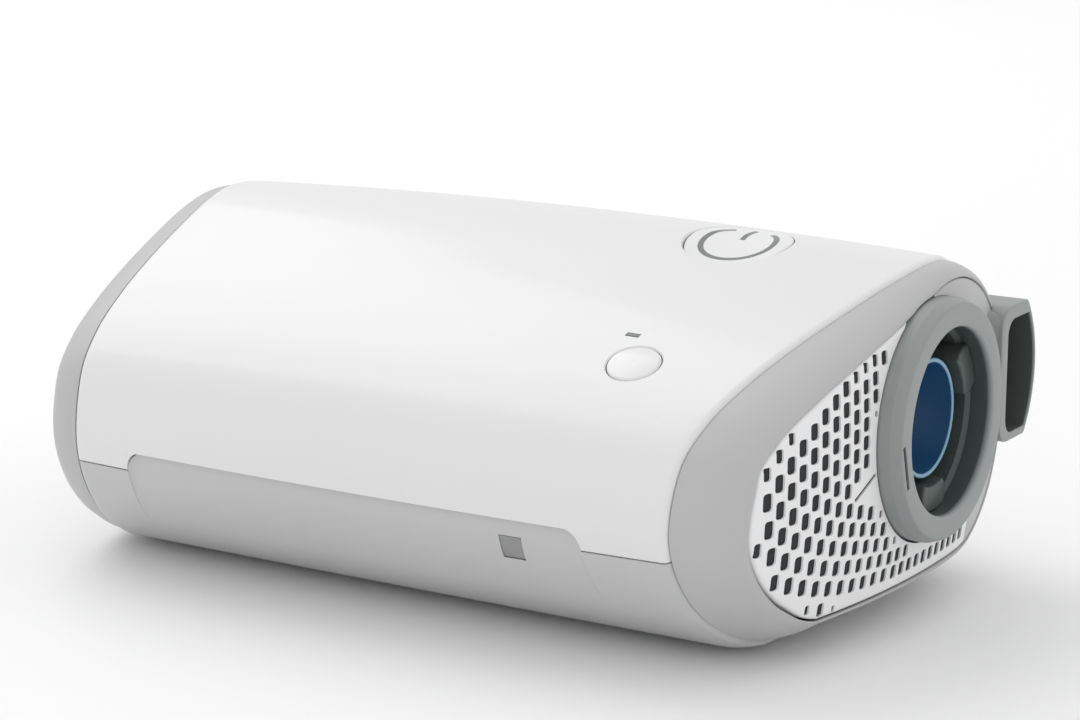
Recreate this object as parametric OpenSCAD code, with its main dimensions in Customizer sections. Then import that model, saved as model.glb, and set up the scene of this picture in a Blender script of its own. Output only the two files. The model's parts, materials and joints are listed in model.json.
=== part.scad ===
// Travel breathing-pressure machine: a pillow-shaped white case with a grey port end.
// Frame: +X towards the port end, -Y the sloping front, +Z up, origin under the middle, on the table.

/* [Case] */
// Length from the far end to the face of the air port
body_length = 136; // [132:1:150]
// Depth from the front nose to the back
body_depth = 84; // [82:1:90]
// Height from the table to the crown
body_height = 52; // [51:0.5:58]
// Wall of both shells
wall = 2; // [1.6:0.1:2.2]
// How much the crown sinks towards each end
crown_drop = 1.8; // [0:0.1:2.5]
// Slope of the base where it rises to the port
bow_slope = 0.35; // [0:0.05:0.4]
// How far back from the port the base starts to rise
bow_length = 17; // [15:0.5:18]
// Slant of the port end, seen from above
port_slant = 0.22; // [0.1:0.01:0.25]
// Slant of the far end, seen from above
far_slant = 0.235; // [0.1:0.005:0.26]
// Width of the line between two case parts
seam_gap = 0.25; // [0.15:0.05:0.4]
// Radius of the rolled edge where a shell meets a grey end
edge_roll = 1; // [0.6:0.1:1.2]

/* [Front scoop] */
// Height of the line between the shells
seam_height = 17.5; // [15:0.5:19]
// Height of the top of the scoop, where the lower shell rises
scoop_top = 20.4; // [20:0.2:23]
// Height at which the scoop fades out
scoop_bottom = 8.5; // [7:0.5:11]
// Depth of the scoop at its top
scoop_depth = 0.8; // [0.3:0.1:1]
// Far end of the scoop
scoop_left = -41; // [-44:1:-30]
// Port end of the scoop
scoop_right = 36.5; // [28:0.5:38]
// Corner radius of the scoop
scoop_corner = 2.5; // [1.5:0.5:4]
// Side of the square window in the scoop
window_side = 3.4; // [2.5:0.1:4.5]
// Place of the square window along the scoop
window_x = 25; // [15:1:28]

/* [Grey ends] */
// Depth of the far end cap
cap_depth = 5.4; // [4:0.2:7]
// How far the far cap's edge rounds inwards
cap_round = 3; // [2:0.1:4]
// How far the bezel reaches past the shells at the crown
bezel_reach = 4.9; // [4:0.1:6]
// Rounding of the bezel at the front nose
bezel_nose = 5; // [4:0.1:6]
// Rounding of the bezel along the top
bezel_top = 2.4; // [2.3:0.1:3]
// Rounding of the bezel under the base
bezel_base = 2; // [2:0.1:2.5]
// Rounding of the bezel at the back
bezel_back = 4; // [3:0.1:5]
// Step from a shell down to a grey end
edge_step = 0.5; // [0.3:0.05:0.6]
// Radius of the domed port end
dome_radius = 150; // [140:5:200]

/* [Air port] */
// Place of the port's middle from the middle of the depth
port_y = 8; // [7:0.5:9]
// Height of the port's middle
port_z = 29.3; // [28.5:0.1:30]
// Radius of the port's collar
port_radius = 17.4; // [17:0.1:18]
// Radius of the bore that takes the hose connector
bore_radius = 13.4; // [13:0.1:13.8]
// Depth of that bore
bore_depth = 3.5; // [3:0.25:4.5]
// How far the collar stands proud of the dome
port_proud = 2.4; // [1.5:0.1:3]
// Radius of the blue nozzle
nozzle_radius = 8.6; // [8:0.1:9]
// Wall of the blue nozzle
nozzle_wall = 1.2; // [1:0.1:1.5]
// Radius of the neck behind the bulkhead
neck_radius = 9; // [8.5:0.1:9.5]
// Radius of each bayonet lug in the port
lug_radius = 3.8; // [3:0.1:4.2]

/* [Filter cover] */
// Thickness of the cover's skin
cover_skin = 1.3; // [1.2:0.1:2]
// Pitch of the slot columns
slot_pitch_y = 2.3; // [2.25:0.05:2.5]
// Width of a slot
slot_width = 1.5; // [1:0.05:1.6]
// Height of a slot beside the port
slot_height = 2; // [1.6:0.1:2.1]
// Plain rim round the slots
cover_rim = 1.9; // [1.8:0.1:3]
// Thickness of the filter pad
filter_thickness = 1.8; // [1.4:0.1:2]

/* [Power inlet] */
// Height of the inlet's hood
hood_height = 20.4; // [20:0.2:21]
// Width of the inlet's hood
hood_width = 12.8; // [12.4:0.1:13]
// Wall of the hood
hood_wall = 1.7; // [1.4:0.1:2]
// Depth of the open socket
socket_depth = 7; // [6:0.5:8]

/* [Keys] */
// Place of the start key along the case
start_x = 32.3; // [30:0.1:36]
// Place of the start key across the case
start_y = 10; // [8:0.5:11]
// Radius of the start key
start_radius = 8; // [7:0.25:8.5]
// Depth of the dish in the start key
start_dish = 0.5; // [0.3:0.1:0.7]
// Place of the pairing key across the case
pairing_y = -26; // [-27:0.5:-24]
// Place of the pairing key along the case
pairing_x = 35.8; // [34:0.1:38]
// Radius of the pairing key
pairing_radius = 3.8; // [3:0.1:4.2]
// How far the pairing key stands proud
pairing_proud = 0.4; // [0.2:0.1:0.6]
// Place of the status light across the case
light_y = -20.2; // [-21:0.1:-18]
// Gap round each key
key_gap = 0.25; // [0.2:0.05:0.35]
// Angle of the keys' travel from the vertical
key_tilt = 17; // [15:0.5:19]
// Travel of each key
key_travel = 0.5; // [0.3:0.05:0.5]

/* [Blower] */
// Place of the blower's shaft along the case
blower_x = 2; // [1.5:0.5:4]
// Outer radius of the blower's scroll
scroll_radius = 19.5; // [19:0.1:20]
// Radius of the scroll's round spout
spout_radius = 6.5; // [6:0.1:6.8]
// Radius of the impeller
impeller_radius = 15.5; // [14:0.1:16]
// Number of impeller blades
blade_count = 11; // [7:1:15]
// Radius of the motor's can
can_radius = 12.5; // [12:0.1:13]
// Radius of the motor's shaft
shaft_radius = 1.5; // [1.2:0.1:2]
// Running clearance of the shaft in its bearings
shaft_clearance = 0.03; // [0.02:0.01:0.08]

/* [Base] */
// Height of the rubber feet
foot_height = 0.8; // [0.6:0.1:1.2]
// Radius of the rubber feet
foot_radius = 4.5; // [3:0.25:6]
// Thickness of the chassis plate
chassis_plate = 1.6; // [1.4:0.1:2]
// Thickness of the circuit boards
board_thickness = 1.6; // [1:0.1:2]

/* [Hidden] */
$fn = 64;

white = "white";
pale = "gainsboro";
grey = [0.72, 0.72, 0.72];
dark = [0.5, 0.52, 0.52];

// ---- The case's form: one smooth closed section, carried along X ----

// The section's knots, as shares of the depth and of the height above the base, from the nose
// up the sloping front, over the crown, down the back and forwards under the flat base.
section_knots = [
    [-0.5, 0.395], [-0.474, 0.588], [-0.405, 0.703], [-0.304, 0.788], [-0.185, 0.86],
    [-0.06, 0.922], [0.06, 0.974], [0.167, 1], [0.274, 0.978], [0.375, 0.895],
    [0.457, 0.74], [0.498, 0.54], [0.496, 0.345], [0.452, 0.165], [0.369, 0.046],
    [0.262, 0], [0, 0], [-0.238, 0], [-0.369, 0.09], [-0.459, 0.228]
];
knot_count = len(section_knots);
crown_knot = 7;
back_knot = 12;
steps_per_knot = 3;

function lerp(a, b, t) = a + (b - a) * t;
function clamp01(t) = max(0, min(1, t));

function knot(i) = section_knots[(i + knot_count) % knot_count];

// A Catmull-Rom curve through the knots, kept flat on the base, in shares of the size.
function share_curve(u) =
    let (i = floor(u), t = u - i, a = knot(i - 1), b = knot(i), c = knot(i + 1), d = knot(i + 2))
    let (p = 0.5 * (2 * b + (c - a) * t + (2 * a - 5 * b + 4 * c - d) * t * t
        + (3 * b - a - 3 * c + d) * t * t * t))
    [p.x, max(p.y, 0)];
curve_samples = [for (i = [0:knot_count * steps_per_knot - 1]) share_curve(i / steps_per_knot)];
share_low = min([for (p = curve_samples) p.x]);
share_high = max([for (p = curve_samples) p.x]);
share_top = max([for (p = curve_samples) p.y]);

// The curve at its real size, centred across the depth and standing on the feet.
function section(u) =
    let (p = share_curve(u))
    [((p.x - share_low) / (share_high - share_low) - 0.5) * body_depth,
        foot_height + p.y / share_top * (body_height - foot_height)];

function outward(u) =
    let (d = section(u + 0.05) - section(u - 0.05), n = norm(d))
    [-d.y / n, d.x / n];

// The case narrows a little from its middle to its ends, but its base stays flat.
function inset_by_crown(n, x) = crown_drop * pow(2 * x / body_length, 2) * (1 - pow(min(0, n.y), 2));

// Towards the port the base bends up and rises steadily as far as the bezel's rim.
bow_bend = 4;
function inset_by_bow(n, x) =
    let (d = max(0, min(x, face_x - bezel_reach) - face_x + bow_length))
    bow_slope * (d < bow_bend ? d * d / bow_bend / 2 : d - bow_bend / 2) * pow(min(0, n.y), 2);

// A point of the section at x, moved inwards by e.
function case_yz(u, x, e) =
    let (n = outward(u), p = section(u), q = e + inset_by_crown(n, x) + inset_by_bow(n, x))
    [p.x - n.x * q, p.y - n.y * q];
function case_point(u, x, e) =
    let (p = case_yz(u, x, e))
    [x, p.x, p.y];

// Both ends slant back from the crown to the nose, and round off over the crown.
crown_y = section(crown_knot).x;
slant_round = 6;
function set_back(y) = sqrt(pow(y - crown_y, 2) + pow(slant_round, 2)) - slant_round;
face_x = body_length / 2 - port_proud;
far_x = -body_length / 2;
function far_face(y) = far_x + far_slant * set_back(y);
function shell_left(u) = far_face(section(u).x) + cap_depth;
function shell_right(u) = face_x - bezel_reach - port_slant * set_back(section(u).x);
function dome_x(y, z) =
    face_x - dome_radius + sqrt(pow(dome_radius, 2) - pow(y - port_y, 2) - pow(z - port_z, 2));

// The section's parameter where the front, or the back, is at height z.
function front_at(z, low = -1, high = 2, n = 18) =
    let (m = (low + high) / 2)
    n == 0 ? m : section(m + knot_count).y < z ? front_at(z, m, high, n - 1) : front_at(z, low, m, n - 1);
function back_at(z, low = back_knot - 1, high = back_knot + 1, n = 18) =
    let (m = (low + high) / 2)
    n == 0 ? m : section(m).y > z ? back_at(z, m, high, n - 1) : back_at(z, low, m, n - 1);
// The section's parameter where the top is at y.
function top_at(y, low = 1, high = crown_knot + 1, n = 18) =
    let (m = (low + high) / 2)
    n == 0 ? m : section(m).x < y ? top_at(y, m, high, n - 1) : top_at(y, low, m, n - 1);

// ---- Solids from rings of points ----

// A curved sheet with thickness: rows of points outside, and the same rows inside.
module sheet(outer, inner) {
    m = len(outer);
    n = len(outer[0]);
    points = concat([for (r = outer) each r], [for (r = inner) each r]);
    function o(i, j) = i * n + j;
    function s(i, j) = m * n + i * n + j;
    function quad(a, b, c, d) = [[a, b, c], [a, c, d]];
    faces = concat(
        [for (i = [0:m - 2], j = [0:n - 2]) each quad(o(i, j), o(i, j + 1), o(i + 1, j + 1), o(i + 1, j))],
        [for (i = [0:m - 2], j = [0:n - 2]) each quad(s(i, j), s(i + 1, j), s(i + 1, j + 1), s(i, j + 1))],
        [for (i = [0:m - 2]) each quad(o(i, 0), o(i + 1, 0), s(i + 1, 0), s(i, 0))],
        [for (i = [0:m - 2]) each quad(o(i + 1, n - 1), o(i, n - 1), s(i, n - 1), s(i + 1, n - 1))],
        [for (j = [0:n - 2]) each quad(o(0, j + 1), o(0, j), s(0, j), s(0, j + 1))],
        [for (j = [0:n - 2]) each quad(o(m - 1, j), o(m - 1, j + 1), s(m - 1, j + 1), s(m - 1, j))]
    );
    polyhedron(points, faces, convexity = 6);
}

function band(r, next, n) =
    [for (j = [0:n - 1]) let (k = (j + 1) % n)
        each [[r + j, r + k, next + k], [r + j, next + k, next + j]]];

// A closed frame: its rings run once round the wall and back to the first.
module frame_of(rings) {
    m = len(rings);
    n = len(rings[0]);
    faces = [for (i = [0:m - 1]) each band(i * n, ((i + 1) % m) * n, n)];
    polyhedron([for (r = rings) each r], faces, convexity = 6);
}

// A closed body: rings between two end points.
module body_of(first, rings, last) {
    m = len(rings);
    n = len(rings[0]);
    points = concat([first], [for (r = rings) each r], [last]);
    faces = concat(
        [for (j = [0:n - 1]) [0, 1 + (j + 1) % n, 1 + j]],
        [for (i = [0:m - 2]) each band(1 + i * n, 1 + (i + 1) * n, n)],
        [for (j = [0:n - 1]) [1 + (m - 1) * n + j, 1 + (m - 1) * n + (j + 1) % n, 1 + m * n]]
    );
    polyhedron(points, faces, convexity = 6);
}

// All the parameters once round the section.
round_u = [for (i = [0:knot_count * steps_per_knot - 1]) i / steps_per_knot];

// Moves a drawing in Y and Z to x, and gives it a thickness along X.
module along_x(x, length) {
    translate([x, 0, 0]) rotate([90, 0, 90]) linear_extrude(length) children();
}
// Turns a revolved profile to the port's axis.
module on_port_axis() {
    translate([0, port_y, port_z]) rotate([0, 90, 0]) children();
}

// ---- Shells ----

nose_u = front_at(seam_height);
nose_left = shell_left(nose_u) + edge_roll;
nose_right = shell_right(nose_u) - edge_roll;
function share_at(x) = (x - nose_left) / (nose_right - nose_left);

// How far the lower shell has risen into its scoop at a share of the length.
function rise(share) =
    let (x = lerp(nose_left, nose_right, share))
    let (d = min(x - scoop_left, scoop_right - x) / scoop_corner)
    d <= 0 ? 0 : d >= 1 ? 1 : sqrt(1 - pow(1 - d, 2));
corner_steps = [-0.12, 0, 0.2, 0.5, 1];
middle_steps = 8;
bow_steps = 5;
shares = concat(
    [0, share_at(scoop_left) / 2],
    [for (c = corner_steps) share_at(scoop_left + c * scoop_corner)],
    [for (i = [1:middle_steps - 1])
        lerp(share_at(scoop_left + scoop_corner), share_at(scoop_right - scoop_corner), i / middle_steps)],
    [for (i = [len(corner_steps) - 1:-1:0]) share_at(scoop_right - corner_steps[i] * scoop_corner)],
    [for (i = [1:bow_steps]) lerp(share_at(scoop_right), 1, i / bow_steps)]
);
// Each station along a shell: its share of the length, a step past it, and its inset on the rolled edge.
roll_angles = [90, 60, 30];
stations = concat(
    [for (a = roll_angles) [0, -edge_roll * sin(a), edge_roll * (1 - cos(a))]],
    [for (s = shares) [s, 0, 0]],
    [for (i = [len(roll_angles) - 1:-1:0])
        [1, edge_roll * sin(roll_angles[i]), edge_roll * (1 - cos(roll_angles[i]))]]
);
function station_x(st, u) =
    lerp(shell_left(u) + edge_roll, shell_right(u) - edge_roll, st[0]) + st[1];
function seam_at(st) = lerp(seam_height, scoop_top, rise(st[0]));
function scoop_at(st, z) =
    scoop_depth * rise(st[0]) * pow(clamp01((z - scoop_bottom) / (scoop_top - scoop_bottom)), 0.8);

// Between these knots every row uses the same steps as the grey ends, so that their edges run level.
upper_knots = [1, back_knot - 1];
lower_knots = [back_knot + 1, knot_count - 3];
function spread(a, b, n) = [for (j = [0:n]) lerp(a, b, j / n)];
function shared_steps(k) = [for (i = [1:(k[1] - k[0]) * steps_per_knot - 1]) k[0] + i / steps_per_knot];
function upper_row(st, inside) =
    let (a = front_at(seam_at(st) + seam_gap / 2), b = back_at(seam_height + seam_gap / 2))
    [for (u = concat(spread(a, upper_knots[0], 3), shared_steps(upper_knots), spread(upper_knots[1], b, 3)))
        case_point(u, station_x(st, u), inside ? wall : st[2])];
function lower_row(st, inside) =
    let (a = back_at(seam_height - seam_gap / 2), b = knot_count + front_at(seam_at(st) - seam_gap / 2))
    [for (u = concat(spread(a, lower_knots[0], 2), shared_steps(lower_knots), spread(lower_knots[1], b, 9)))
        let (scoop = u > lower_knots[1] ? scoop_at(st, section(u).y) : 0)
        case_point(u, station_x(st, u), inside ? wall + scoop : st[2] + scoop)];

module upper_shell() {
    color(white) difference() {
        sheet([for (st = stations) upper_row(st, false)], [for (st = stations) upper_row(st, true)]);
        key_frame(start_x, start_y) cylinder(h = 8 * wall, r = start_radius + key_gap, center = true);
        key_frame(pairing_x, pairing_y) cylinder(h = 8 * wall, r = pairing_radius + key_gap, center = true);
        key_frame(start_x, light_y) cube([light_size.x + 0.2, light_size.y + 0.2, 4 * wall], center = true);
    }
}

module lower_shell() {
    color(pale) difference() {
        sheet([for (st = stations) lower_row(st, false)], [for (st = stations) lower_row(st, true)]);
        window_block(seam_gap / 2, 3 * wall);
    }
}

// The square window's centre is at half the scoop's height.
window_z = (scoop_top + 2 * seam_height) / 3 - window_side * 0.7;
window_out = section(knot_count + front_at(window_z)).x;
module window_block(gap, depth) {
    side = window_side + 2 * gap;
    translate([window_x - side / 2, window_out - gap, window_z - side / 2]) cube([side, depth, side]);
}

// The case's whole outer form between its rolled edges, moved in or out.
module case_form(e) {
    rows = [for (s = shares) [for (u = round_u) case_point(u, station_x([s, 0, 0], u), e)]];
    first = rows[0];
    last = rows[len(rows) - 1];
    middle = [0, 0, body_height / 2];
    body_of([first[0].x, 0, middle.z], rows, [last[0].x, 0, middle.z]);
}

// ---- Grey ends ----

// Rounding of the bezel, by which way the case faces there.
function bezel_round(u) =
    let (n = outward(u))
    bezel_nose * pow(min(0, n.x), 2) + bezel_back * pow(max(0, n.x), 2)
    + bezel_top * pow(max(0, n.y), 2) + bezel_base * pow(min(0, n.y), 2);
function bezel_rim_yz(u, extra = 0) = case_yz(u, face_x - bezel_reach, bezel_round(u) + extra);
function bezel_end_x(u) = let (p = bezel_rim_yz(u)) dome_x(p.x, p.y);
bezel_angles = [0, 12, 24, 37, 50, 64, 77, 90];

module port_bezel() {
    back = seam_gap / 2;
    color(grey) difference() {
        frame_of(concat(
            [[for (u = round_u) case_point(u, shell_right(u) + back, bezel_round(u))]],
            [for (a = bezel_angles) [for (u = round_u)
                let (x = lerp(shell_right(u) + back, bezel_end_x(u), sin(a)))
                case_point(u, x, lerp(edge_step, bezel_round(u), 1 - cos(a)))]]
        ));
        hood_form(hood_root_x - part_gap, body_length, -part_gap);
        on_port_axis() cylinder(h = body_length, r = port_radius + ring_gap);
    }
}

cap_angles = [90, 75, 55, 35, 15, 0];
cap_shares = [0.3, 0.6, 0.82];
spigot = 3;
spigot_wall = 1.5;
module far_end_cap() {
    back = seam_gap / 2;
    hub = [0, crown_y / 2, body_height / 2];
    function rim(u, e) = case_yz(u, shell_left(u) - cap_depth, e);
    function on_face(u, e, share, deep) =
        let (p = rim(u, e), y = lerp(hub.y, p.x, share), z = lerp(hub.z, p.y, share))
        [far_face(y) + deep, y, z];
    color(grey) body_of(
        [far_face(hub.y), hub.y, hub.z],
        concat(
            [for (s = cap_shares) [for (u = round_u) on_face(u, cap_round, s, 0)]],
            [for (a = cap_angles) [for (u = round_u)
                let (e = lerp(edge_step, cap_round, 1 - cos(a)))
                let (x = lerp(shell_left(u) - back, far_face(rim(u, cap_round).x), sin(a)))
                case_point(u, x, e)]],
            [for (e = [wall + 0.1, wall + 0.1 + spigot_wall]) [for (u = round_u)
                case_point(u, shell_left(u) + (e < wall + 0.2 ? -back : spigot), e)]],
            [[for (u = round_u) on_face(u, cap_round + wall, 1, wall)]],
            [[for (u = round_u) on_face(u, cap_round + wall, 0.5, wall)]]
        ),
        [far_face(hub.y) + wall, hub.y, hub.z]
    );
}

// ---- Port end ----

// A slab along X whose outline is the inside of the bezel, drawn in by extra.
module bezel_slab(x, length, extra) {
    along_x(x, length) polygon([for (u = round_u) bezel_rim_yz(u, extra)]);
}
module dome_ball(less) {
    translate([face_x - dome_radius, port_y, port_z]) sphere(r = dome_radius - less, $fn = 200);
}

bulkhead_thick = 2;
bulkhead_x = face_x - 13;
bulkhead_front = bulkhead_x + bulkhead_thick;
part_gap = 0.2;

function bulkhead_yz(u, less) = case_yz(u, bulkhead_front, bezel_round(u) + 0.3 + less);
module port_bulkhead() {
    wire_hole = 3;
    vent = [5, 4, 3];
    color(pale) difference() {
        along_x(bulkhead_x, bulkhead_thick)
            polygon([for (u = round_u) bulkhead_yz(u, 0)]);
        on_port_axis() cylinder(h = body_length, r = neck_radius + part_gap / 2);
        translate([0, wire_y, hood_z]) rotate([0, 90, 0]) cylinder(h = body_length, r = wire_hole);
        intersection() {
            along_x(bulkhead_x - 1, bulkhead_thick + 2)
                polygon([for (u = round_u) bulkhead_yz(u, vent.z)]);
            for (i = [0:vent.y - 1])
                translate([bulkhead_x - 1, port_y - port_radius - vent.x * (i + 1) - 1, port_z - 19 + 2 * i])
                    cube([bulkhead_thick + 2, vent.x - 1.6, 30 - 5 * i]);
        }
    }
}

// The filter cover wraps the front of the port and runs under it.
cover_back_y = port_y + 16;
module cover_zone(shrink) {
    reach = 200;
    translate([0, port_y - part_gap - shrink - reach, -reach / 2]) cube([reach, reach, 2 * reach]);
    translate([0, cover_back_y - part_gap - shrink - reach, port_z - part_gap - shrink - reach])
        cube([reach, reach, reach]);
}
cover_gap = 0.25;
cover_wall = 1;
ring_gap = 0.3;
cover_back = bulkhead_front + 0.1;

// Slots stand in bowed columns. Their rows fan out from the port towards the nose.
slot_first_y = port_y - port_radius - 0.3;
slot_bow = 0.0171;
slot_bow_fall = 0.0007;
slot_bow_z = port_z + 1.5;
row_pitch = 2.445;
row_fan = 0.0615;
row_base_z = 6.8;
row_lift = 0.014;
row_lift_y = slot_first_y - 7;
function slot_row_z(y, k) =
    row_base_z + row_lift * pow(min(0, y - row_lift_y), 2)
    + k * (row_pitch + row_fan * max(0, slot_first_y - y));
function slot_center(j, k) =
    let (y0 = slot_first_y - slot_pitch_y * j, z = slot_row_z(y0, k))
    [y0 + (slot_bow - slot_bow_fall * max(0, j)) * pow(min(0, z - slot_bow_z), 2), z];
function slot_rise(y) = slot_height * (1 + 0.012 * max(0, slot_first_y - y));

// The rim's outline as seen along X, and how far a point lies inside it.
rim_outline = [for (u = round_u) bezel_rim_yz(u, cover_gap)];
function edge_side(p, a, b) = cross(b - a, p - a) / norm(b - a);
function depth_inside(p) =
    min([for (i = [0:len(rim_outline) - 1])
        let (a = rim_outline[i], b = rim_outline[(i + 1) % len(rim_outline)])
        norm(b - a) < 0.01 ? 99 : -edge_side(p, a, b)]);
// A finger tab beside the port stays plain.
tab_z = port_z - 6.3;
tab_reach = 4.2;
tab_half = 2.35;
function in_tab(p) =
    p.x > port_y - port_radius - tab_reach && p.x < port_y - port_radius * 0.7 && abs(p.y - tab_z) < tab_half;
function keeps_slot(p) =
    depth_inside(p) > cover_rim
    && norm(p - [port_y, port_z]) > port_radius + ring_gap + 1.3
    && !in_tab(p)
    && (p.x < port_y - 2.4 || (p.x < cover_back_y - 3 && p.y < port_z - 4));
slot_centers = [for (j = [-12:12], k = [0:17]) let (p = slot_center(j, k)) if (keeps_slot(p)) p];

module slot_outline(w, h) {
    c = w * 0.28;
    polygon([
        [-w / 2, c - h / 2], [c - w / 2, -h / 2], [w / 2 - c, -h / 2], [w / 2, c - h / 2],
        [w / 2, h / 2 - c], [w / 2 - c, h / 2], [c - w / 2, h / 2], [-w / 2, h / 2 - c]
    ]);
}

module filter_cover() {
    color(white) difference() {
        intersection() {
            bezel_slab(cover_back, face_x - cover_back + 1, cover_gap);
            dome_ball(0);
            cover_zone(0);
        }
        intersection() {
            bezel_slab(cover_back - 1, face_x, cover_gap + cover_wall);
            dome_ball(cover_skin);
            cover_zone(cover_wall);
            difference() {
                translate([0, -body_depth, 0]) cube([body_length, 2 * body_depth, 2 * body_height]);
                on_port_axis() cylinder(h = body_length, r = port_radius + ring_gap + cover_wall);
            }
        }
        on_port_axis() cylinder(h = body_length, r = port_radius + ring_gap);
        for (p = slot_centers)
            along_x(cover_back, face_x) translate(p) slot_outline(slot_width, slot_rise(p.x));
        translate([cover_back, port_y - port_radius - tab_reach + 0.2, tab_z - 1])
            rotate([-45, 0, 0]) cube([face_x, 0.5, 1.5 * tab_half]);
    }
}

module filter_pad() {
    color([0.85, 0.87, 0.88]) intersection() {
        bezel_slab(cover_back, filter_thickness, cover_gap + cover_wall + part_gap);
        translate([0, port_y - port_radius - ring_gap - cover_wall - part_gap - body_depth, 0])
            cube([body_length, body_depth, body_height]);
    }
}

shoulder_radius = bore_radius - 0.6;
bore_floor_x = body_length / 2 - bore_depth - 6;
nozzle_front = body_length / 2 - bore_depth - 0.3;
lug_angles = [0, 118, 236];
module outlet_collar() {
    lip = 0.4;
    bevel = 1.4;
    face = body_length / 2;
    slit = [1, 6.5, 1.6];
    color(dark) difference() {
        union() {
            on_port_axis() rotate_extrude($fn = 128) polygon([
                [shoulder_radius, face - bore_depth], [bore_radius, face - bore_depth],
                [bore_radius, face - lip], [bore_radius + lip, face],
                [port_radius - 0.5, face], [port_radius, face - bevel],
                [port_radius, bulkhead_front], [neck_radius, bulkhead_front],
                [neck_radius, bulkhead_x - 3.5], [neck_radius - 1.6, bulkhead_x - 3.5],
                [neck_radius - 1.6, bore_floor_x - 1.6], [nozzle_radius - nozzle_wall - 0.2, bore_floor_x - 1.6],
                [nozzle_radius - nozzle_wall - 0.2, bore_floor_x], [shoulder_radius, bore_floor_x]
            ]);
            for (a = lug_angles) on_port_axis() rotate([0, 0, a]) bayonet_lug();
        }
        translate([0, port_y - body_depth / 2, port_z - port_radius - body_height + 0.4])
            cube([body_length, body_depth, body_height]);
        translate([face - slit.z, port_y - port_radius * 0.88, port_z - slit.y - 3])
            rotate([12, 0, 0]) cube([slit.z + 1, slit.x, slit.y]);
    }
}

// A round-headed lug on the port's wall, over which the hose connector locks.
module bayonet_lug() {
    intersection() {
        translate([shoulder_radius - lug_radius * 0.6, 0, bore_floor_x])
            cylinder(h = nozzle_front - bore_floor_x, r = lug_radius);
        difference() {
            translate([0, 0, bore_floor_x - 1]) cylinder(h = body_length, r = shoulder_radius + 0.3);
            translate([0, 0, bore_floor_x - 2]) cylinder(h = body_length, r = nozzle_radius + 0.6);
        }
    }
}

module outlet_nozzle() {
    throat = nozzle_radius - nozzle_wall;
    color([0.1, 0.3, 0.6]) on_port_axis() rotate_extrude($fn = 96) polygon([
        [throat - 1.8, bore_floor_x], [nozzle_radius, bore_floor_x],
        [nozzle_radius, nozzle_front - 0.4], [nozzle_radius - 0.4, nozzle_front],
        [throat, nozzle_front], [throat - 0.8, nozzle_front - 1.5]
    ]);
}

hood_y = body_depth / 2 - 0.4 - hood_width / 2;
wire_y = hood_y - 1.6;
hood_z = port_z + 1.8;
hood_lip_x = body_length / 2 - 2;
hood_root_x = shell_right(back_knot) + 1.5;
hood_bulge = 16.5;
hood_corner = 3.2;
// The hood's outline: soft corners, flat towards the port and bowed towards the back.
module hood_form(x, length, less) {
    wide = hood_width - 2 * less;
    tall = hood_height - 2 * less;
    corner = hood_corner - less;
    along_x(x, length) translate([hood_y, hood_z]) intersection() {
        union() {
            square([wide, tall - 2 * corner], center = true);
            square([wide - 2 * corner, tall], center = true);
            for (y = [-1, 1], z = [-1, 1])
                translate([y * (wide / 2 - corner), z * (tall / 2 - corner)]) circle(r = corner);
        }
        translate([wide / 2 + less - hood_bulge, 0]) circle(r = hood_bulge - less, $fn = 128);
    }
}

module inlet_surround() {
    plate = 2;
    plate_x = dome_x(body_depth / 2 - bezel_back, port_z);
    color(dark) difference() {
        union() {
            difference() {
                intersection() {
                    bezel_slab(cover_back, plate_x - cover_back, cover_gap);
                    surround_zone();
                }
                intersection() {
                    bezel_slab(cover_back - 1, plate_x - plate - cover_back + 1, cover_gap + cover_wall);
                    translate([0, cover_back_y + cover_wall, 0]) cube([body_length, body_depth, body_height]);
                }
            }
            hood_form(hood_root_x, hood_lip_x - hood_root_x, 0);
            translate([plate_x - plate, cover_back_y, hood_z - hood_height / 2 + 0.6])
                cube([hood_lip_x - plate_x + plate - 1, hood_y - cover_back_y - 3, hood_height - 1.2]);
        }
        hood_form(core_front, socket_depth + 1, hood_wall);
        translate([0, wire_y, hood_z]) rotate([0, 90, 0]) cylinder(h = body_length / 2 - 4, r = 2.6);
        on_port_axis() cylinder(h = body_length, r = port_radius + 0.05);
    }
}
module surround_zone() {
    reach = 200;
    translate([0, cover_back_y, 0]) cube([reach, reach, reach]);
    translate([0, port_y, port_z]) cube([reach, reach, reach]);
}

core_front = hood_lip_x - socket_depth;
module socket_core() {
    color([0.12, 0.12, 0.13]) difference() {
        translate([core_front, hood_y - 2.6, hood_z - 4.5]) cube([2, 4.2, 9]);
        for (i = [-1:1])
            translate([core_front - 1, hood_y - 1.2, hood_z + 2.8 * i - 0.7]) cube([4, 1.4, 1.4]);
    }
}
module socket_contacts() {
    color("goldenrod") for (i = [-1:1])
        translate([core_front, hood_y - 1.1, hood_z + 2.8 * i - 0.6]) cube([3, 1.2, 1.2]);
}

// ---- Keys, light and their board, all square to one tilted plane ----

light_size = [2, 0.8];
function key_origin(y) =
    let (u = top_at(y), p = case_yz(u, start_x, 0))
    [p.x, p.y];
module key_frame(x, y) {
    p = key_origin(y);
    translate([x, p.x, p.y]) rotate([key_tilt, 0, 0]) children();
}
// How far the case's skin at y lies above the tilted plane through the start key.
function skin_lift(y) =
    let (d = key_origin(y) - key_origin(start_y))
    cos(key_tilt) * d.y - sin(key_tilt) * d.x;

flange_top = -wall - 3;
flange_thick = 0.8;
stem_end = flange_top - flange_thick - 0.5;
switch_rest = key_travel + 0.1;
switch_height = 2;
// The board's upper face, measured along the keys' travel from the start key's place on the skin.
board_top = stem_end - switch_rest - switch_height;
button_board_thick = 1;

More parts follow.
